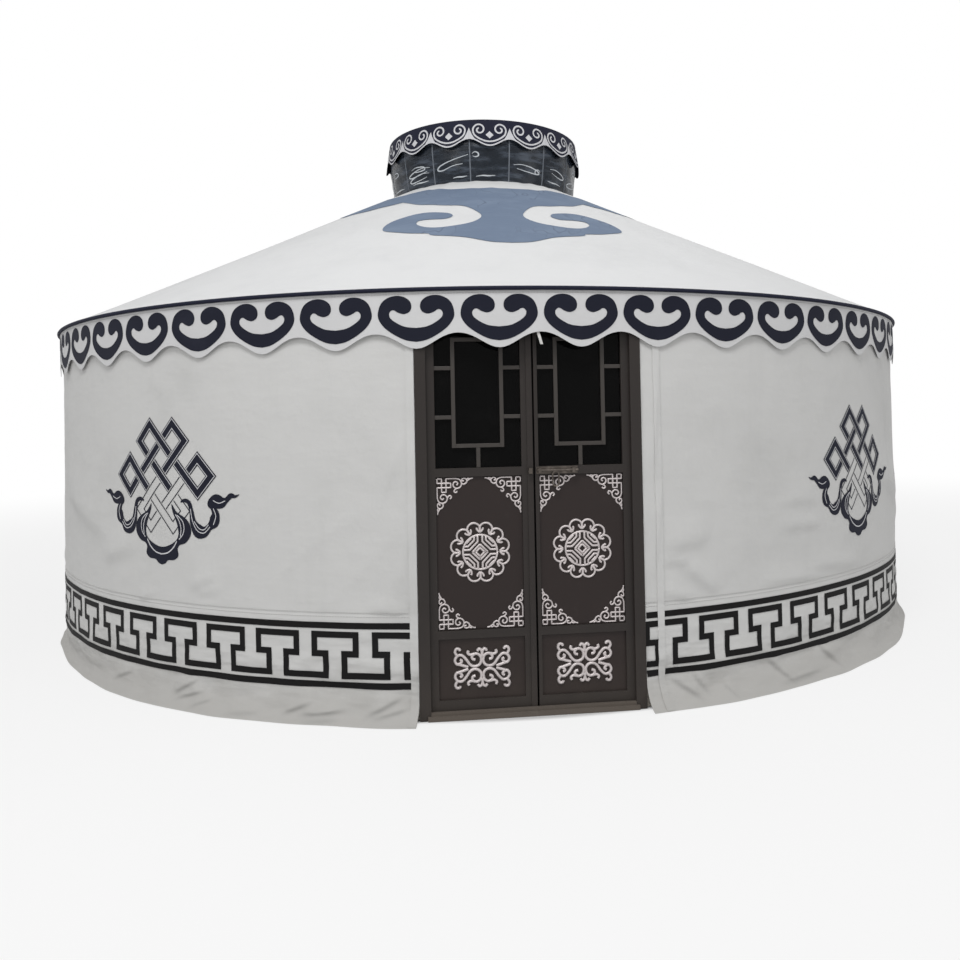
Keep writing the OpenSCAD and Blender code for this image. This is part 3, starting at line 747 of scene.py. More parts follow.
def ring_tree():
    """Copies of one piece, turned evenly about the upright axis of the yurt."""
    tree = bpy.data.node_groups.new("turned_copies", "GeometryNodeTree")
    for label, kind in (("Piece", "Geometry"), ("Count", "Int"), ("Start", "Float"), ("Step", "Float"),
                        ("Finish", "Material")):
        tree.interface.new_socket(label, in_out="INPUT", socket_type="NodeSocket" + kind)
    tree.interface.new_socket("Copies", in_out="OUTPUT", socket_type="NodeSocketGeometry")
    given, result = tree.nodes.new("NodeGroupInput"), tree.nodes.new("NodeGroupOutput")
    spots, place = tree.nodes.new("GeometryNodePoints"), tree.nodes.new("GeometryNodeInstanceOnPoints")
    number, turn = tree.nodes.new("GeometryNodeInputIndex"), tree.nodes.new("ShaderNodeMath")
    turn.operation = "MULTIPLY_ADD"
    vector, angle = tree.nodes.new("ShaderNodeCombineXYZ"), tree.nodes.new("FunctionNodeEulerToRotation")
    real, finish = tree.nodes.new("GeometryNodeRealizeInstances"), tree.nodes.new("GeometryNodeSetMaterial")
    join = tree.links.new
    join(given.outputs["Count"], spots.inputs["Count"])
    join(spots.outputs[0], place.inputs["Points"])
    join(given.outputs["Piece"], place.inputs["Instance"])
    join(number.outputs[0], turn.inputs[0])
    join(given.outputs["Step"], turn.inputs[1])
    join(given.outputs["Start"], turn.inputs[2])
    join(turn.outputs[0], vector.inputs["Z"])
    join(vector.outputs[0], angle.inputs[0])
    join(angle.outputs[0], place.inputs["Rotation"])
    join(place.outputs[0], real.inputs[0])
    join(real.outputs[0], finish.inputs["Geometry"])
    join(given.outputs["Finish"], finish.inputs["Material"])
    join(finish.outputs[0], result.inputs[0])
    return tree


RING = ring_tree()


def applied(name, mesh, tree, **values):
    """Runs a tree on a mesh and gives back a plain mesh."""
    obj = bpy.data.objects.new(name, mesh)
    bpy.context.scene.collection.objects.link(obj)
    modifier = obj.modifiers.new(name, "NODES")
    modifier.node_group = tree
    sockets = {s.name: s.identifier for s in tree.interface.items_tree if s.in_out == "INPUT"}
    for key, value in values.items():
        modifier[sockets[key]] = value
    shown = obj.evaluated_get(bpy.context.evaluated_depsgraph_get())
    result = bpy.data.meshes.new_from_object(shown)
    result.name = name
    obj.modifiers.clear()
    bpy.data.objects.remove(obj)
    return result


def turned_copies(name, mesh, count, start, step, finish):
    return applied(name, mesh, RING, Count=count, Start=math.radians(start), Step=math.radians(step),
                   Finish=finish)


def draped(mesh, ripple, along_roof=False):
    """Moves a mesh that was laid on the true round out to where the rippled cloth is."""
    co = np.zeros(len(mesh.vertices) * 3)
    mesh.vertices.foreach_get("co", co)
    co = co.reshape(-1, 3)
    r = np.hypot(co[:, 0], co[:, 1])
    a = np.degrees(np.arctan2(co[:, 0], -co[:, 1]))
    off = each(ripple, a, r if along_roof else co[:, 2])
    grown = (r + off * (math.sin(ROOF_TILT) if along_roof else 1)) / r
    co[:, :2] *= grown[:, None]
    if along_roof:
        co[:, 2] += off * math.cos(ROOF_TILT)
    mesh.vertices.foreach_set("co", co.ravel())
    mesh.update()
    return mesh


# Covers

def wall_columns(k, first, last):
    """Azimuths of one length of canvas, close together where the photo shows its folds."""
    if k == 0:
        return np.concatenate([np.arange(first, 46, 0.22), np.linspace(46, last, 74)])
    if k == 3:
        return np.concatenate([np.linspace(first, 314, 74), np.arange(last, 314, -0.22)[::-1]])
    return np.linspace(first, last, int((last - first) / 0.55) + 1)


def wall_covers():
    """Canvas over felt, in four lengths, open at the doorway."""
    rows = np.concatenate([np.linspace(0.0015, FLARE_H, 24), np.linspace(FLARE_H, 0.39, 24)[1:],
                           np.linspace(0.39, 0.41, 9)[1:], np.linspace(0.41, 0.80, 25)[1:],
                           np.linspace(0.80, 1.617, 19)[1:]])
    for k in range(4):
        first, last = (DOOR_A if k == 0 else 90.0 * k), (360 - DOOR_A if k == 3 else 90.0 * (k + 1))
        a, z = grid(wall_columns(k, first, last), rows)
        back = wall(a, z, -CANVAS_T)
        back[..., 2] = np.maximum(back[..., 2], 0.0005)
        cloth = cloth_shell("wall_canvas", wall(a, z), back, cloth_uv(a, z, WALL_DEGREE), False)
        # Painted shade along the folds, stored on the points for the canvas colour.
        painted_fold_shade = each(lambda p, q: fold_height(p, q, True), a, z).ravel()
        cloth.attributes.new("fold_shade", "FLOAT", "POINT").data.foreach_set("value", np.tile(painted_fold_shade, 2))
        cover = piece(f"wall_canvas_{k + 1}", cloth, WALL_CANVAS)
        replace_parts(cover, f"wall_cover_{k + 1}")
        a, z = grid(np.linspace(first, last, 61), np.linspace(0.002, 1.615, 9))
        felt = [round_points(a, r, z) for r in FELT_FACES]
        lining = piece(f"wall_felt_{k + 1}", cloth_shell("wall_felt", *felt, cloth_uv(a, z, WALL_DEGREE), False),
                       FELT)


def roof_covers():
    """The roof canvas in four gores, turned down over the wall at the eave, and its felt."""
    inner, felt_edge = 0.588, 2.478
    radii = np.concatenate([np.linspace(inner, 1.2, 28), np.linspace(1.2, 2.44, 38)[1:],
                            np.linspace(2.44, 2.504, 7)[1:]])[::-1]
    lips = [(2.5115, 1.601), (2.5115, 1.620), (2.5115, 1.634), (2.5095, 1.6385)]
    along = np.concatenate([np.linspace(-0.045, -0.005, len(lips)), (EAVE_R - radii) / math.cos(ROOF_TILT)])
    for k in range(4):
        columns = np.linspace(90 * k, 90 * (k + 1), 136)
        a, r = grid(columns, radii)
        skin, back = (np.concatenate([turned_rim(columns, [(q - d, z - d * 0.3) for q, z in lips]), roof(a, r, -d)],
                                     axis=1) for d in (0.0, CANVAS_T))
        uv = cloth_uv(*grid(columns, along), ROOF_DEGREE)
        cover = piece(f"roof_canvas_{k + 1}", cloth_shell("roof_canvas", skin, back, uv, False), ROOF_CANVAS)
        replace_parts(cover, f"roof_cover_{k + 1}")
        a, r = grid(np.linspace(90 * k, 90 * (k + 1), 61), np.linspace(felt_edge, inner, 25))
        felt = [true_roof(a, r, -0.0085), true_roof(a, r, -0.0190)]
        lining = piece(f"roof_felt_{k + 1}", cloth_shell("roof_felt", *felt, cloth_uv(a, r, ROOF_DEGREE), False),
                       FELT)


def eave_valance():
    """The scalloped valance with a ram horn on each scallop."""
    columns = SCALLOP_TURN + np.arange(SCALLOPS * 18) * 360 / (SCALLOPS * 18)
    mesh = scalloped_cloth("eave_valance_cloth", columns, scallop_edge, VALANCE_TOP, 15, valance, EAVE_DEGREE)
    cloth = piece("eave_valance_cloth", mesh, VALANCE_CANVAS)
    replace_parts(cloth, "eave_valance")
    horn = [(0, 1.434), (0.040, 1.441), (0.085, 1.463), (0.122, 1.491), (0.1435, 1.523), (0.1445, 1.553),
            (0.131, 1.585), (0.104, 1.604), (0.072, 1.610), (0.043, 1.604), (0.022, 1.588), (0.0165, 1.566),
            (0.025, 1.548), (0.046, 1.540), (0.068, 1.546), (0.083, 1.555), (0.094, 1.554), (0.102, 1.543),
            (0.098, 1.526), (0.076, 1.508), (0.042, 1.492), (0, 1.4865)]
    outline = mirrored(smooth_line(horn))
    motif = printed("ram_horn", [[outline]], 0.014, true_valance, EAVE_DEGREE, 0.0011)
    ring = turned_copies("ram_horn_prints", motif, SCALLOPS, SCALLOP_TURN + 180 / SCALLOPS, 360 / SCALLOPS,
                         NAVY_PRINT)
    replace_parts(piece("ram_horn_prints", draped(ring, valance_ripple), NAVY_PRINT))


def key_frets(keys=64, pen=0.024):
    """The key fret round the wall, its cut ends at the doorway and the plain bar that closes it at the back."""
    period, step = 2 * math.pi * WALL_R / keys, 360 / keys
    top, middle, bottom, half = 0.324, 0.251, 0.168, 0.0845
    stem = period / 2 - half
    right_keys, left_keys, first_right, first_left = 30, 28, 17.757, -12.02
    path = [(0, top), (half, top), (half, middle), (stem, middle), (stem, bottom), (period - stem, bottom),
            (period - stem, middle), (period - half, middle), (period - half, top), (period, top)]
    by_right = [(-half - 0.001, bottom), (-stem, bottom), (-stem, middle), (-half, middle), (-half, top)] + path[1:]
    by_left = [[(0, top), (0.054, top)], [(0.054, middle), (stem, middle), (stem, bottom), (0.054, bottom)],
               [(0.068, bottom), (0.080, bottom)]]
    back_from, back_to = first_right + right_keys * step, first_left + 360 - left_keys * step

    def fret(name, lines, at=0.0):
        shapes = [stroke(line, pen) for line in lines]
        return printed(name, shapes, 0.012, true_wall, WALL_DEGREE, BAND_LIFT, at)

    key = fret("key_fret", [path])
    runs = [turned_copies("key_fret_right", key, right_keys, first_right, step, BLACK_PRINT),
            turned_copies("key_fret_left", key, left_keys, first_left - left_keys * step, step, BLACK_PRINT),
            fret("key_fret_right_end", [by_right], first_right - step), fret("key_fret_left_end", by_left, first_left),
            fret("key_fret_back", [[(0, top), ((back_to - back_from) * WALL_DEGREE, top)]], back_from)]
    for mesh in runs:
        piece(mesh.name, draped(mesh, wall_ripple), BLACK_PRINT)


def wall_prints():
    """The key-fret band with its two lines, and the endless knots."""
    key_frets()
    lines = []
    for low, short in ((0.347, 0.75), (0.120, 0.08)):
        a, z = grid(np.linspace(DOOR_A + 0.08, 360 - DOOR_A - short, 1000), np.linspace(low, low + 0.024, 3))
        lines.append(open_strip("band_lines", wall(a, z, BAND_LIFT)))
    piece("band_lines", joined(lines), BLACK_PRINT)
    dark, pale = endless_knot()
    for name, shapes, lift, finish in (("endless_knots", dark, 0.0016, NAVY_PRINT),
                                       ("knot_inlays", pale, 0.0024, WHITE_PRINT)):
        knots = [printed(name, shapes, 0.016, wall, WALL_DEGREE, lift, at) for at in KNOTS_AT]
        piece(name, joined(knots), finish)


def endless_knot(centre=0.929, d=0.102, wide=0.041):
    """Outlines of the knot and its ribbons: dark shapes, and the pale lines laid on them."""
    def at(p, q):
        return np.array([(p + q) * d / math.sqrt(2), centre + (p - q) * d / math.sqrt(2)])

    gap = (wide / 2 + 0.005) / d
    dark, pale, tails = [], [], {}
    pale_past = {("p", 1): 9, ("p", 0): 1, ("p", -1): 0, ("q", 0): 0, ("q", 1): 1, ("q", -1): -9}
    for kind in "pq":
        for n in (-1, 0, 1):
            start = -2
            for other in (-1, 0, 1, 2):
                over = other < 2 and (n + other) % 2 == (0 if kind == "p" else 1)
                if over:
                    continue
                stop = other - gap if other < 2 else 2
                if start == -2:
                    tails[kind, n, -2] = stop
                elif stop == 2:
                    tails[kind, n, 2] = start
                else:
                    middle, limit = (start + stop) / 2, pale_past[kind, n]
                    line = [at(n, start), at(n, stop)] if kind == "p" else [at(start, n), at(stop, n)]
                    band(dark, pale, line, wide, middle < limit if kind == "p" else middle > limit)
                start = other + gap
    for first, corners, last, is_dark in (
            (("p", 0, -2), [(0, -2), (1, -2)], ("p", 1, -2), True),
            (("q", -1, 2), [(2, -1), (2, 0)], ("q", 0, 2), True),
            (("p", 1, 2), [(1, 2), (2, 2), (2, 1)], ("q", 1, 2), True),
            (("p", -1, -2), [(-1, -2), (-2, -2), (-2, -1)], ("q", -1, -2), True),
            (("q", 0, -2), [(-2, 0), (-2, 1)], ("q", 1, -2), False),
            (("p", -1, 2), [(-1, 2), (0, 2)], ("p", 0, 2), False)):
        ends = [at(n, tails[kind, n, e]) if kind == "p" else at(tails[kind, n, e], n)
                for kind, n, e in (first, last)]
        band(dark, pale, [ends[0]] + [at(*c) for c in corners] + [ends[1]], wide, is_dark)
    dark += ribbons(centre)
    threads = (
        (0.0055, [(0, -0.328), (0.040, -0.320), (0.074, -0.298), (0.096, -0.270)]),
        (0.0040, [(0.110, -0.262), (0.132, -0.240), (0.139, -0.212), (0.128, -0.184), (0.098, -0.162)]),
        (0.0040, [(0.118, -0.250), (0.122, -0.218), (0.112, -0.188), (0.090, -0.160)]),
        (0.0038, [(0.176, -0.135), (0.188, -0.185), (0.214, -0.222), (0.250, -0.230), (0.282, -0.205)]),
        (0.0038, [(0.196, -0.185), (0.222, -0.212), (0.250, -0.217), (0.274, -0.196)]),
        (0.0038, [(0.300, -0.196), (0.313, -0.160), (0.300, -0.130)]),
        (0.0036, [(0.300, -0.098), (0.330, -0.108), (0.362, -0.098)]))
    pale += [stroke(smooth_line([(x * side, centre + z) for x, z in line]), thick)
             for side in (1, -1) for thick, line in threads]
    return dark, pale


def band(dark, pale, line, wide, is_dark):
    """One stretch of the knot's cord: dark with two pale threads, or bare with a thin outline."""
    if is_dark:
        dark.append(stroke(line, wide))
    shapes, pen, inset = (pale, 0.0034, 0.0062) if is_dark else (dark, 0.0042, 0.0021)
    for side in (-1, 1):
        shapes.append(stroke(line, pen, offset=side * (wide / 2 - inset)))


def ribbons(centre):
    """The collar under the knot and the ribbon that flies out each side of it."""
    collar = [(0, -0.372), (0.022, -0.366), (0.042, -0.352), (0.080, -0.348), (0.104, -0.330), (0.100, -0.302),
              (0.112, -0.286), (0.144, -0.276), (0.170, -0.252), (0.178, -0.224), (0.168, -0.194), (0.138, -0.170),
              (0.096, -0.150), (0.066, -0.118), (0.072, -0.150), (0.090, -0.182), (0.102, -0.212), (0.106, -0.240),
              (0.094, -0.264), (0.060, -0.284), (0.022, -0.296), (0, -0.298)]
    ribbon = [(0.118, -0.108, 0.006), (0.142, -0.101, 0.015), (0.168, -0.112, 0.020), (0.181, -0.148, 0.024),
              (0.190, -0.190, 0.036), (0.216, -0.222, 0.058), (0.250, -0.226, 0.046), (0.278, -0.206, 0.030),
              (0.303, -0.182, 0.052), (0.310, -0.152, 0.040), (0.296, -0.128, 0.022), (0.286, -0.112, 0.036),
              (0.312, -0.102, 0.058), (0.344, -0.104, 0.048), (0.366, -0.096, 0.024), (0.390, -0.078, 0.022),
              (0.412, -0.080, 0.012), (0.432, -0.072, 0.003)]
    line = smooth_line(ribbon)
    ahead = np.gradient(line[:, :2], axis=0)
    ahead /= np.linalg.norm(ahead, axis=1)[:, None]
    out = np.stack([-ahead[:, 1], ahead[:, 0]], axis=1) * np.abs(line[:, 2:]) / 2
    shapes = [[mirrored(smooth_line([(x, centre + z) for x, z in collar]))]]
    for side in (1, -1):
        for i in range(0, len(line) - 1, 4):
            part = slice(i, min(i + 5, len(line)))
            strip = np.concatenate([(line[:, :2] + out)[part], (line[:, :2] - out)[part][::-1]])
            shapes.append([strip * (side, 1) + (0, centre)])
    return shapes


def roof_clouds():
    """Four cloud scrolls, joined in a ring round the crown."""
    half = [(0, 0.780), (8, 0.800), (19, 0.785), (30, 0.735)]
    between = [(30, 0.735), (37, 0.772), (45, 0.785)]
    wing = [(45, 1.135), (39, 1.115), (34, 1.078), (30, 1.030)]
    scroll = [(30, 1.030), (26, 1.085), (21, 1.145), (15, 1.185), (10, 1.215), (7, 1.275), (4.7, 1.380), (4.4, 1.465),
              (6, 1.555), (8.4, 1.615), (11, 1.640), (13.8, 1.620), (16.0, 1.565), (16.3, 1.500), (14.2, 1.474),
              (11.2, 1.478), (10.1, 1.430), (11.6, 1.365), (15.2, 1.335), (19.0, 1.363), (21.8, 1.430), (22.6, 1.510),
              (22.0, 1.600), (20.4, 1.660), (16.6, 1.715), (12.8, 1.736), (11.9, 1.770), (10.0, 1.797), (6.4, 1.830),
              (4.6, 1.866), (2.4, 1.915), (0, 1.934)]
    line = np.concatenate([smooth_line(half)[:-1], smooth_line(between), smooth_line(wing)[:-1],
                           smooth_line(scroll)])
    line[:, 0] *= math.radians(1)
    cloud = printed("roof_cloud", [[mirrored(line)]], 0.03, true_roof, math.radians(1), 0.0022)
    ring = turned_copies("roof_clouds", cloud, 4, 0.0, 90.0, SLATE_PRINT)
    piece("roof_clouds", draped(ring, roof_ripple, True), SLATE_PRINT)


# Crown

def crown_valance():
    """The scalloped navy cloth that hangs from the crown's cap, and its prints."""
    columns = np.arange(CROWN_SCALLOPS * 20) * 360 / (CROWN_SCALLOPS * 20)
    mesh = scalloped_cloth("crown_valance_cloth", columns, crown_edge, HANG_Z, 12, crown_hang, HANG_DEGREE)
    hang = piece("crown_valance_cloth", mesh, NAVY_CLOTH)
    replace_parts(hang, "crown_valance")
    crown_scrolls()


def crown_cap():
    """The domed cap with its turned-down rim."""
    columns = np.arange(160) * 2.25
    a, r = grid(columns, np.concatenate([[0.004], np.linspace(0.03, CAP_EDGE, 30)])[::-1])
    top, under = (np.concatenate([turned_rim(columns, ((CAP_EDGE - d, 2.931), (CAP_EDGE - d, 2.9465))),
                                  cap_top(a, r, -d)], axis=1) for d in (0.0, CANVAS_T))
    mesh = cloth_shell("crown_cap_cloth", top, under, top[..., :2].copy(), True)
    cap = piece("crown_cap_cloth", mesh, NAVY_CLOTH)
    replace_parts(cap, "crown_cap")


def crown_film():
    """The clear film band, the tape on its upright seams, and painted highlights in the shape of creases."""
    columns = np.arange(CROWN_SCALLOPS * 20) * 360 / (CROWN_SCALLOPS * 20)
    a, z = grid(columns, np.linspace(2.5806, 2.9295, 32))
    mesh = cloth_shell("crown_film_band", film_skin(a, z, 0.0009), film_skin(a, z), cloth_uv(a, z, FILM_DEGREE), True)
    film = piece("crown_film_band", mesh, FILM)
    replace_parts(film, "crown_windows")
    a, z = grid(np.linspace(-0.34, 0.34, 4), np.linspace(2.5810, 2.9290, 40))
    uv = cloth_uv(a, z, FILM_DEGREE)
    strips = []
    for k in range(CROWN_SCALLOPS):
        at = a + (k + 0.5) * 360 / CROWN_SCALLOPS
        strips.append(cloth_shell("film_seam", film_skin(at, z, 0.0022), film_skin(at, z, 0.0011), uv, False))
    piece("film_seams", joined(strips), SEAM_TAPE)
    film_painted_highlights()


def film_painted_highlights():
    """Painted highlights on the film, in whitish lines the shape of pinched folds: long flat loops that open towards a
    seam.
    """
    degree = math.radians(1) * 0.612
    loop = [(0.094, 2.668), (0.030, 2.672), (-0.045, 2.658), (-0.088, 2.640), (-0.070, 2.628), (0.0, 2.634),
            (0.072, 2.648)]
    wedge = [(0.106, 2.742), (0.050, 2.728), (-0.030, 2.706), (-0.086, 2.684), (-0.094, 2.664), (-0.060, 2.662),
             (0.010, 2.682), (0.070, 2.690)]
    small = [(-0.040, 2.712), (-0.010, 2.722), (0.030, 2.716), (0.036, 2.700), (0.004, 2.694), (-0.034, 2.698)]
    glint = [(-0.070, 2.606), (-0.020, 2.610), (0.030, 2.609), (0.080, 2.613)]
    # A highlight line is its line, its stretch along the pane, and its shift along and up
    sets = (((glint, 0.9, 0, 0), (small, 0.8, 0.04, 0.06)), ((loop, -1, 0, 0.024),),
            ((small, 1, -0.030, 0.010), (glint, -1, 0, 0.006)), ((loop, 1, 0, 0.006), (small, -0.8, 0.03, 0.03)),
            ((wedge, -1, 0, -0.01),))
    front = {-2: ((loop, 0.92, -0.004, -0.006), (small, 1.5, -0.006, -0.012), (loop, 1.0, -0.004, 0.026),
                  (glint, 0.9, 0, 0.004)),
             -1: ((wedge, 1, 0.004, 0), (glint, 0.6, 0.05, 0.004)),
             0: ((glint, 0.8, -0.030, 0.006), (small, 0.5, -0.086, 0.034)),
             1: ((loop, -1, 0.004, 0.020), (small, -0.5, 0.080, -0.046)),
             2: ((loop, -0.8, 0.02, 0.03), (glint, -0.9, 0, 0.01))}
    highlight_lines = []
    for pane in range(-8, 8):
        for line, stretch, dx, dz in front.get(pane, sets[pane % len(sets)]):
            path = smooth_line([(x * stretch + dx, z + dz) for x, z in line])
            thick = 0.0026 + 0.0052 * np.sin(np.linspace(0.15, 2.9, len(path))) ** 2
            highlight_lines.append(printed("film_painted_highlights", [stroke(path, thick)], 0.02, film_skin, degree, 0.0017,
                                   pane * 360 / CROWN_SCALLOPS))
    piece("film_painted_highlights", joined(highlight_lines), FILM_HIGHLIGHT)


def crown_scrolls():
    """White scrolls, lozenges and edging on the crown valance, one set to a scallop."""
    degree = math.radians(1) * 0.634
    curl = spiral((-0.0615, HANG_TIP + 0.1045), 0.0400, 0.009, 196, -450, 48)
    tail = smooth_line([(0, HANG_TIP + 0.029), (-0.030, HANG_TIP + 0.034), (-0.066, HANG_TIP + 0.051),
                        (-0.091, HANG_TIP + 0.072), curl[0]])
    half = np.concatenate([tail[:-1], curl])
    pen = np.concatenate([half[::-1], (half * (-1, 1))[1:]])
    lozenge = np.array([(0, 0.048), (0.024, 0.070), (0, 0.094), (-0.024, 0.070)]) + (0, HANG_TIP)
    x = np.linspace(0, 0.1243, 30)
    edge = np.array([crown_edge(v / degree) for v in x])
    inner = edge + 0.010 + 0.062 * np.clip((x - 0.085) / 0.0393, 0, 1) ** 1.7
    border = np.concatenate([np.stack([x, edge + 0.0006], axis=1), np.stack([x, inner], axis=1)[::-1]])
    shapes = [stroke(pen, 0.0098), [lozenge], [border], [(border * (-1, 1))[::-1]]]
    one = printed("crown_scroll", shapes, 0.012, true_hang, degree, 0.0011)
    ring = turned_copies("crown_scroll_prints", one, CROWN_SCALLOPS, 0.0, 360 / CROWN_SCALLOPS, WHITE_PRINT)
    piece("crown_scroll_prints", draped(ring, hang_ripple), WHITE_PRINT)


# Door

def rods(name, groups, y, material, body):
    """Raised half-round trim on the door, all in one mesh; a group is lines with their width and depth."""
    verts, faces = [], []
    profile = [(-0.5, 0.0), (-0.46, -0.55), (-0.25, -0.93), (0.0, -1.0), (0.25, -0.93), (0.46, -0.55), (0.5, 0.0)]
    for line, width, depth in ((line, *size) for lines, *size in groups for line in lines):
        p = np.asarray(line, float)
        ahead = np.gradient(p, axis=0)
        ahead /= np.maximum(np.linalg.norm(ahead, axis=1), 1e-9)[:, None]
        normal = np.stack([-ahead[:, 1], ahead[:, 0]], axis=1)
        start = len(verts)
        for (x, z), (nx, nz) in zip(p, normal):
            verts += [(x + nx * u * width, y + v * depth, z + nz * u * width) for u, v in profile]
        m = len(profile)
        for i in range(len(p) - 1):
            for k in range(m):
                j = (k + 1) % m
                near, far = start + i * m, start + (i + 1) * m
                faces.append((near + k, near + j, far + j, far + k))
        faces.append(tuple(start + k for k in range(m))[::-1])
        faces.append(tuple(start + (len(p) - 1) * m + k for k in range(m)))
    mesh = mesh_from(name, verts, faces)
    flip = bmesh.new()
    flip.from_mesh(mesh)
    bmesh.ops.recalc_face_normals(flip, faces=flip.faces)
    flip.to_mesh(mesh)
    flip.free()
    return piece(name, mesh, material, body)


def bars(name, boxes, y0, y1, material, body):
    """Square bars with eased edges, each given by x0, x1, z0, z1."""
    made = bmesh.new()
    for x0, x1, z0, z1 in boxes:
        cube = bmesh.ops.create_cube(made, size=1.0)["verts"]
        for v in cube:
            v.co = ((x0 + x1) / 2 + v.co.x * (x1 - x0), (y0 + y1) / 2 + v.co.y * (y1 - y0),
                    (z0 + z1) / 2 + v.co.z * (z1 - z0))
    bmesh.ops.bevel(made, geom=made.edges[:], offset=0.0015, segments=2, affect="EDGES", profile=0.5)
    mesh = bpy.data.meshes.new(name)
    made.to_mesh(mesh)
    made.free()
    return piece(name, mesh, material, body, smooth=False)


def window_bars(side, x0, x1):
    """The square lattice in front of one pane."""
    width, t = x1 - x0, 0.0155
    u0, u1, mid = x0 + 0.22 * width, x1 - 0.22 * width, (x0 + x1) / 2
    z0, z1, low, high, step0, step1 = 0.951, 1.513, 1.036, 1.445, 1.146, 1.335
    h = t / 2
    boxes = [(u0 - h, u0 + h, low - h, high + h), (u1 - h, u1 + h, low - h, high + h),
             (u0 + h, u1 - h, low - h, low + h), (u0 + h, u1 - h, high - h, high + h),
             (mid - h, mid + h, z0, low - h), (mid - h, mid + h, high + h, z1)]
    for z in (step0, step1):
        boxes += [(x0, u0 - h, z - h, z + h), (u1 + h, x1, z - h, z + h)]
    bars(f"{side}_window_bars", boxes, LEAF_Y + 0.004, LEAF_Y + 0.016, BAR_PAINT, f"{side}_leaf")


def medallion(x, z):
    """Twelve lobes with curled joints round a square fret that mirrors on both axes."""
    lines = []
    for k in range(12):
        turn = math.radians(30 * k)
        lobe = spiral((0.0890, 0), 0.0255, 0.0255, -84, 168, 18)
        lines.append(rotate_about(lobe, turn + math.radians(15)) + (x, z))
        head = smooth_line([(0.100, 0.0008), (0.0790, 0.0010), (0.0810, 0.0062), (0.0880, 0.0118),
                            (0.0935, 0.0112)])
        lines += [rotate_about(head * (1, flip), turn) + (x, z) for flip in (1, -1)]
    lines.append(spiral((x, z), 0.066, 0.066, 0, 360, 48))
    quarter = [[(0.0, 0.017), (0.017, 0.0)], [(0.0, 0.017), (0.0, 0.030)], [(0.017, 0.0), (0.030, 0.0)],
               [(0.0, 0.030), (0.030, 0.0)], [(0.009, 0.064), (0.009, 0.040), (0.040, 0.009), (0.064, 0.009)],
               [(0.0225, 0.061), (0.0225, 0.046), (0.046, 0.0225), (0.061, 0.0225)], [(0.034, 0.053), (0.053, 0.034)]]
    for sx in (1, -1):
        for sz in (1, -1):
            lines += [dense(line) * (sx, sz) + (x, z) for line in quarter]
    return lines


def rotate_about(points, turn):
    c, s = math.cos(turn), math.sin(turn)
    p = np.asarray(points, float)
    return np.stack([p[:, 0] * c - p[:, 1] * s, p[:, 0] * s + p[:, 1] * c], axis=1)


def dense(points, step=0.006):
    """A square-cornered line with points close enough to hold its corners."""
    out = []
    p = np.asarray(points, float)
    for s, e in zip(p[:-1], p[1:]):
        n = max(2, int(np.linalg.norm(e - s) / step))
        out += [s + (e - s) * k / n for k in range(n)]
    return np.array(out + [p[-1]])


# Metres to a unit of the door's ornaments
FRET_UNIT, SCROLL_UNIT = 0.000262, 0.000367


def corner_fret(x, z, sx, sz):
    """A woven square whose two ends run out along the panel's edges in scrolls."""
    weave_path = dense([(5, 5), (72, 5), (72, 205), (137, 205), (137, 5), (285, 5)], 20)
    scroll = smooth_line([(285, 5), (340, 26), (364, 82), (342, 134), (290, 152), (246, 122), (244, 76), (280, 52),
                          (310, 78), (290, 104)], steps=5)
    outer = smooth_line([(356, 70), (392, 92), (432, 72), (442, 34), (412, 6), (376, 12), (374, 40), (400, 42)],
                        steps=5)
    tip = smooth_line([(436, 52), (470, 26), (500, 10), (532, 5)], steps=4)
    leaf = smooth_line([(440, 14), (470, 6), (490, 20)], steps=4)
    hook = smooth_line([(292, 152), (262, 172), (254, 198), (280, 212), (302, 192)], steps=5)
    lines = []
    for line in (np.concatenate([weave_path, scroll[1:]]), outer, tip, leaf, hook):
        line = line * FRET_UNIT
        lines += [line, line[:, ::-1]]
    return [line * (sx, sz) + (x, z) for line in lines]


def panel_scroll(x, z):
    """Four-fold running scrolls on the lower panel: each an S with a volute at both ends."""
    quarter = [
        [(72, 84), (100, 92), (104, 122), (66, 146), (24, 126), (10, 74), (30, 32), (76, 14), (124, 32), (168, 92),
         (212, 134), (258, 128), (284, 86), (264, 44), (230, 50), (212, 76), (232, 92)],
        [(270, 48), (222, 34), (146, 10)], [(258, 128), (282, 168), (268, 202), (238, 200), (232, 182)],
        [(72, 146), (120, 136), (150, 155), (140, 180)], [(14, 112), (0, 146), (10, 182), (32, 194), (50, 172)]]
    lines = [smooth_line(line, steps=6) * SCROLL_UNIT for line in quarter]
    return [line * (sx, sz) + (x, z) for sx in (1, -1) for sz in (1, -1) for line in lines]


def door():
    """Window bars and raised ornaments of both leaves."""
    for side, x0, x1 in (("left", -0.365, -0.033), ("right", 0.033, 0.365)):
        window_bars(side, x0, x1)
        middle, leaf = (x0 + x1) / 2, f"{side}_leaf"
        corners = [line for sx, x in ((1, x0 + 0.004), (-1, x1 - 0.004)) for sz, z in ((1, 0.337), (-1, 0.913))
                   for line in corner_fret(x, z, sx, sz)]
        frets = [(medallion(middle, 0.627), 0.0088, 0.0062), (corners, 0.0068, 0.0055)]
        rods(f"{side}_panel_frets", frets, PANEL_Y, ORNAMENT, leaf)
        rods(f"{side}_panel_scroll", [(panel_scroll(middle, 0.186), 0.0120, 0.0080)], PANEL_Y, ORNAMENT, leaf)


def meeting_brush():
    """A soft black strip on the right leaf that closes the gap between the leaves."""
    bars("meeting_brush", [(0.0137, 0.0200, 0.030, 1.540)], -2.4180, -2.4125, RUBBER, "right_leaf")


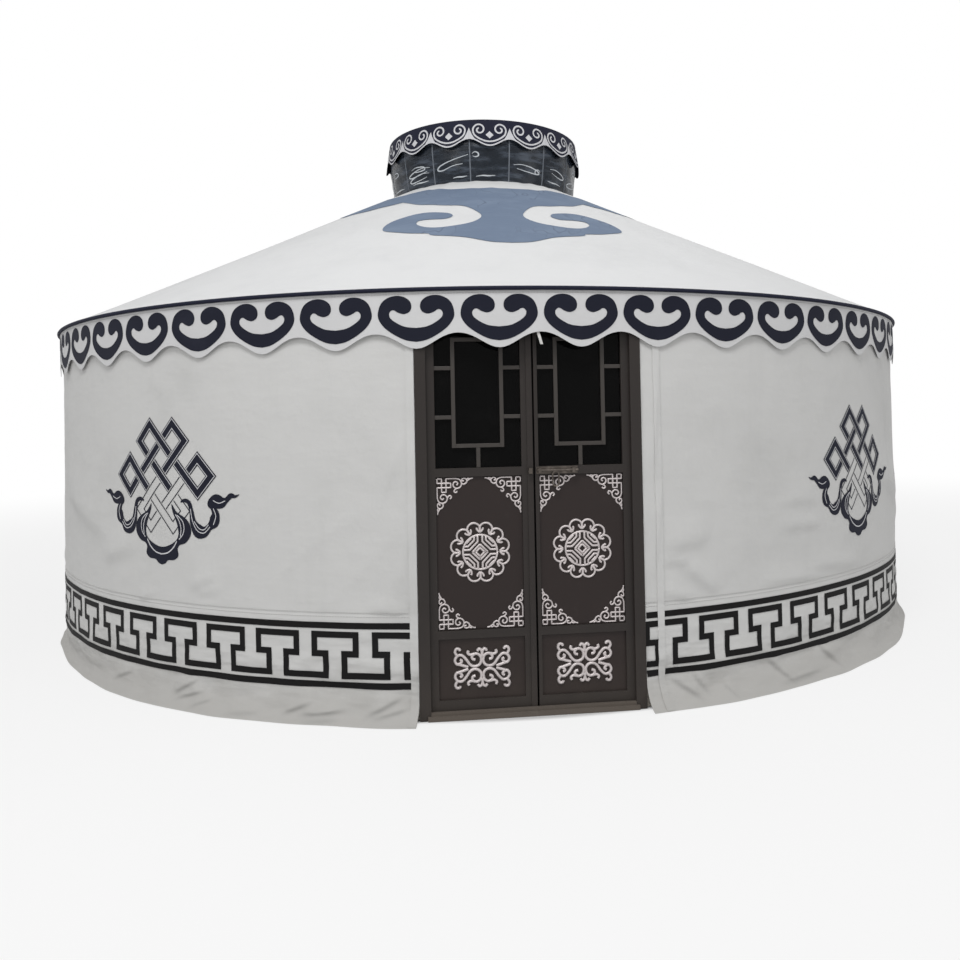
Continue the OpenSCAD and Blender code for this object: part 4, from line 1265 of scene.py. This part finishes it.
def door_flaps():
    """Turned edges of the canvas, lying over the band beside the jambs."""
    for side, first, last, under in (("right", DOOR_A + 1.20, DOOR_A + 1.86, "wall_canvas_1"),
                                     ("left", 360 - DOOR_A - 0.72, 360 - DOOR_A - 0.02, "wall_canvas_4")):
        a, z = grid(np.linspace(first, last, 6), np.linspace(0.004, 1.600, 190))
        mesh = cloth_shell(f"{side}_door_flap", wall(a, z, 0.0042), wall(a, z, 0.0004), cloth_uv(a, z, WALL_DEGREE),
                           False)
        flap = piece(f"{side}_door_flap", mesh, WALL_CANVAS)


def stitches():
    """Rows of running stitch along the wall seam and the valance."""
    beside = DOOR_A + 0.1, 360 - DOOR_A - 0.1
    long, high, thick, sunk = 0.0075, 0.0020, 0.0018, 0.0006
    for name, r, z, ripple, count, (first, last) in (
            ("wall_seam_stitches", WALL_R, 0.4085, wall_ripple, 1300, beside),
            ("band_seam_stitches", WALL_R, 0.3930, wall_ripple, 1300, beside),
            ("valance_stitches", VALANCE_R, 1.6155, valance_ripple, 1400, (0.0, 360.0))):
        made = bmesh.new()
        bmesh.ops.create_cube(made, size=1.0)
        for v in made.verts:
            v.co = (v.co.x * long, -r - sunk + v.co.y * thick, z + v.co.z * high)
        one = bpy.data.meshes.new(name)
        made.to_mesh(one)
        made.free()
        row = turned_copies(name, one, count, first, (last - first) / count, THREAD)
        piece(name, draped(row, ripple), THREAD)


def tie_tape():
    """A loose end of tape that shows under the valance over the door."""
    t = np.linspace(0, 1, 10)
    x, y, z = 0.029 + 0.018 * t, -2.506 - 0.004 * np.sin(t * 3.1), 1.478 - 0.060 * t
    skin = np.stack([np.stack([x - 0.0055, y, z], axis=-1), np.stack([x + 0.0055, y - 0.001, z], axis=-1)])
    mesh = cloth_shell("tie_tape", skin, skin + (0, 0.0012, 0), skin[..., ::2].copy(), False)
    tape = piece("tie_tape", mesh, TIE_TAPE)


def finish_nodes():
    """Gives every CAD node that stays in view its finish, by the first part of its name that fits."""
    finishes = {"lattice": LATTICE_WOOD, "eave_ring": FRAME_WOOD, "roof_poles": FRAME_WOOD, "crown_": FRAME_WOOD,
                "eave_binding": NAVY_CLOTH, "door_threshold": SILL_PAINT, "door_": DOOR_PAINT, "bolt_": BOLT_STEEL,
                "left_leaf_frame": DOOR_PAINT, "right_leaf_frame": DOOR_PAINT, "left_leaf_panels": PANEL_PAINT,
                "right_leaf_panels": PANEL_PAINT, "left_leaf_glass": GLASS, "right_leaf_glass": GLASS}
    for name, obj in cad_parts.items():
        finish = next((paint for key, paint in finishes.items() if name.startswith(key)), None)
        if finish:
            obj.data.materials.clear()
            obj.data.materials.append(finish)


# Studio

def pale_floor(radius=40, sides=96):
    """A floor that shows white, darker near the yurt, and keeps its shadow."""
    turns = 2 * math.pi * np.arange(sides) / sides
    floor = mesh_from("floor", [(radius * math.cos(t), radius * math.sin(t), -0.001) for t in turns], [range(sides)])
    p = Paint("pale_floor")
    p.set(Base_Color=(0.72, 0.72, 0.72), Roughness=0.9, Specular_IOR_Level=0.1)
    glow = p.add("ShaderNodeEmission", {}, {"Color": (1, 1, 1, 1), "Strength": 1.0})
    spot = p.add("ShaderNodeTexCoord", out="Object")
    away = p.add("ShaderNodeVectorMath", {"operation": "LENGTH"}, [spot], out="Value")
    shown = p.seen() * (p.ramp(away, 3.0, 13.0) * 0.22 + 0.78) * p.ramp(away, 2.49, 2.53)
    mixed = p.add("ShaderNodeMixShader", {}, [shown, Value(p, p.shader.outputs[0]), glow])
    p.put(p.nodes["Material Output"].inputs["Surface"], mixed)
    floor.materials.append(p.material)
    ground = bpy.data.objects.new("floor", floor)
    bpy.context.scene.collection.objects.link(ground)


def studio():
    """Floor, a white world that lights less than it shows, and four lamps."""
    pale_floor()
    world = bpy.data.worlds.new("studio")
    bpy.context.scene.world = world
    world.use_nodes = True
    sky = Tree(world.node_tree)
    back = sky.nodes["Background"]
    back.inputs["Color"].default_value = (1, 1, 1, 1)
    level = sky.add("ShaderNodeMapRange", {}, {"Value": sky.seen(), "To Min": 0.42, "To Max": 1.0})
    sky.put(back.inputs["Strength"], level)
    for name, place, size, power in (("overhead", (1.4, 0.6, 7.5), 6.0, 95),
                                     ("high_front", (-1.2, -6.0, 6.8), 2.0, 235),
                                     ("front_left", (-6.0, -8.2, 4.6), 2.6, 85),
                                     ("front_right", (7.5, -6.0, 3.6), 3.0, 70)):
        lamp = bpy.data.lights.new(name, "AREA")
        lamp.size, lamp.energy = size, power
        obj = bpy.data.objects.new(name, lamp)
        obj.location = place
        obj.rotation_euler = (Vector((0, 0, 1.0)) - Vector(place)).to_track_quat("-Z", "Y").to_euler()
        bpy.context.scene.collection.objects.link(obj)
    bpy.context.scene.view_settings.view_transform = "Standard"


wall_covers()
roof_covers()
eave_valance()
wall_prints()
roof_clouds()
crown_valance()
crown_cap()
crown_film()
door()
meeting_brush()
door_flaps()
stitches()
tie_tape()
finish_nodes()
studio()
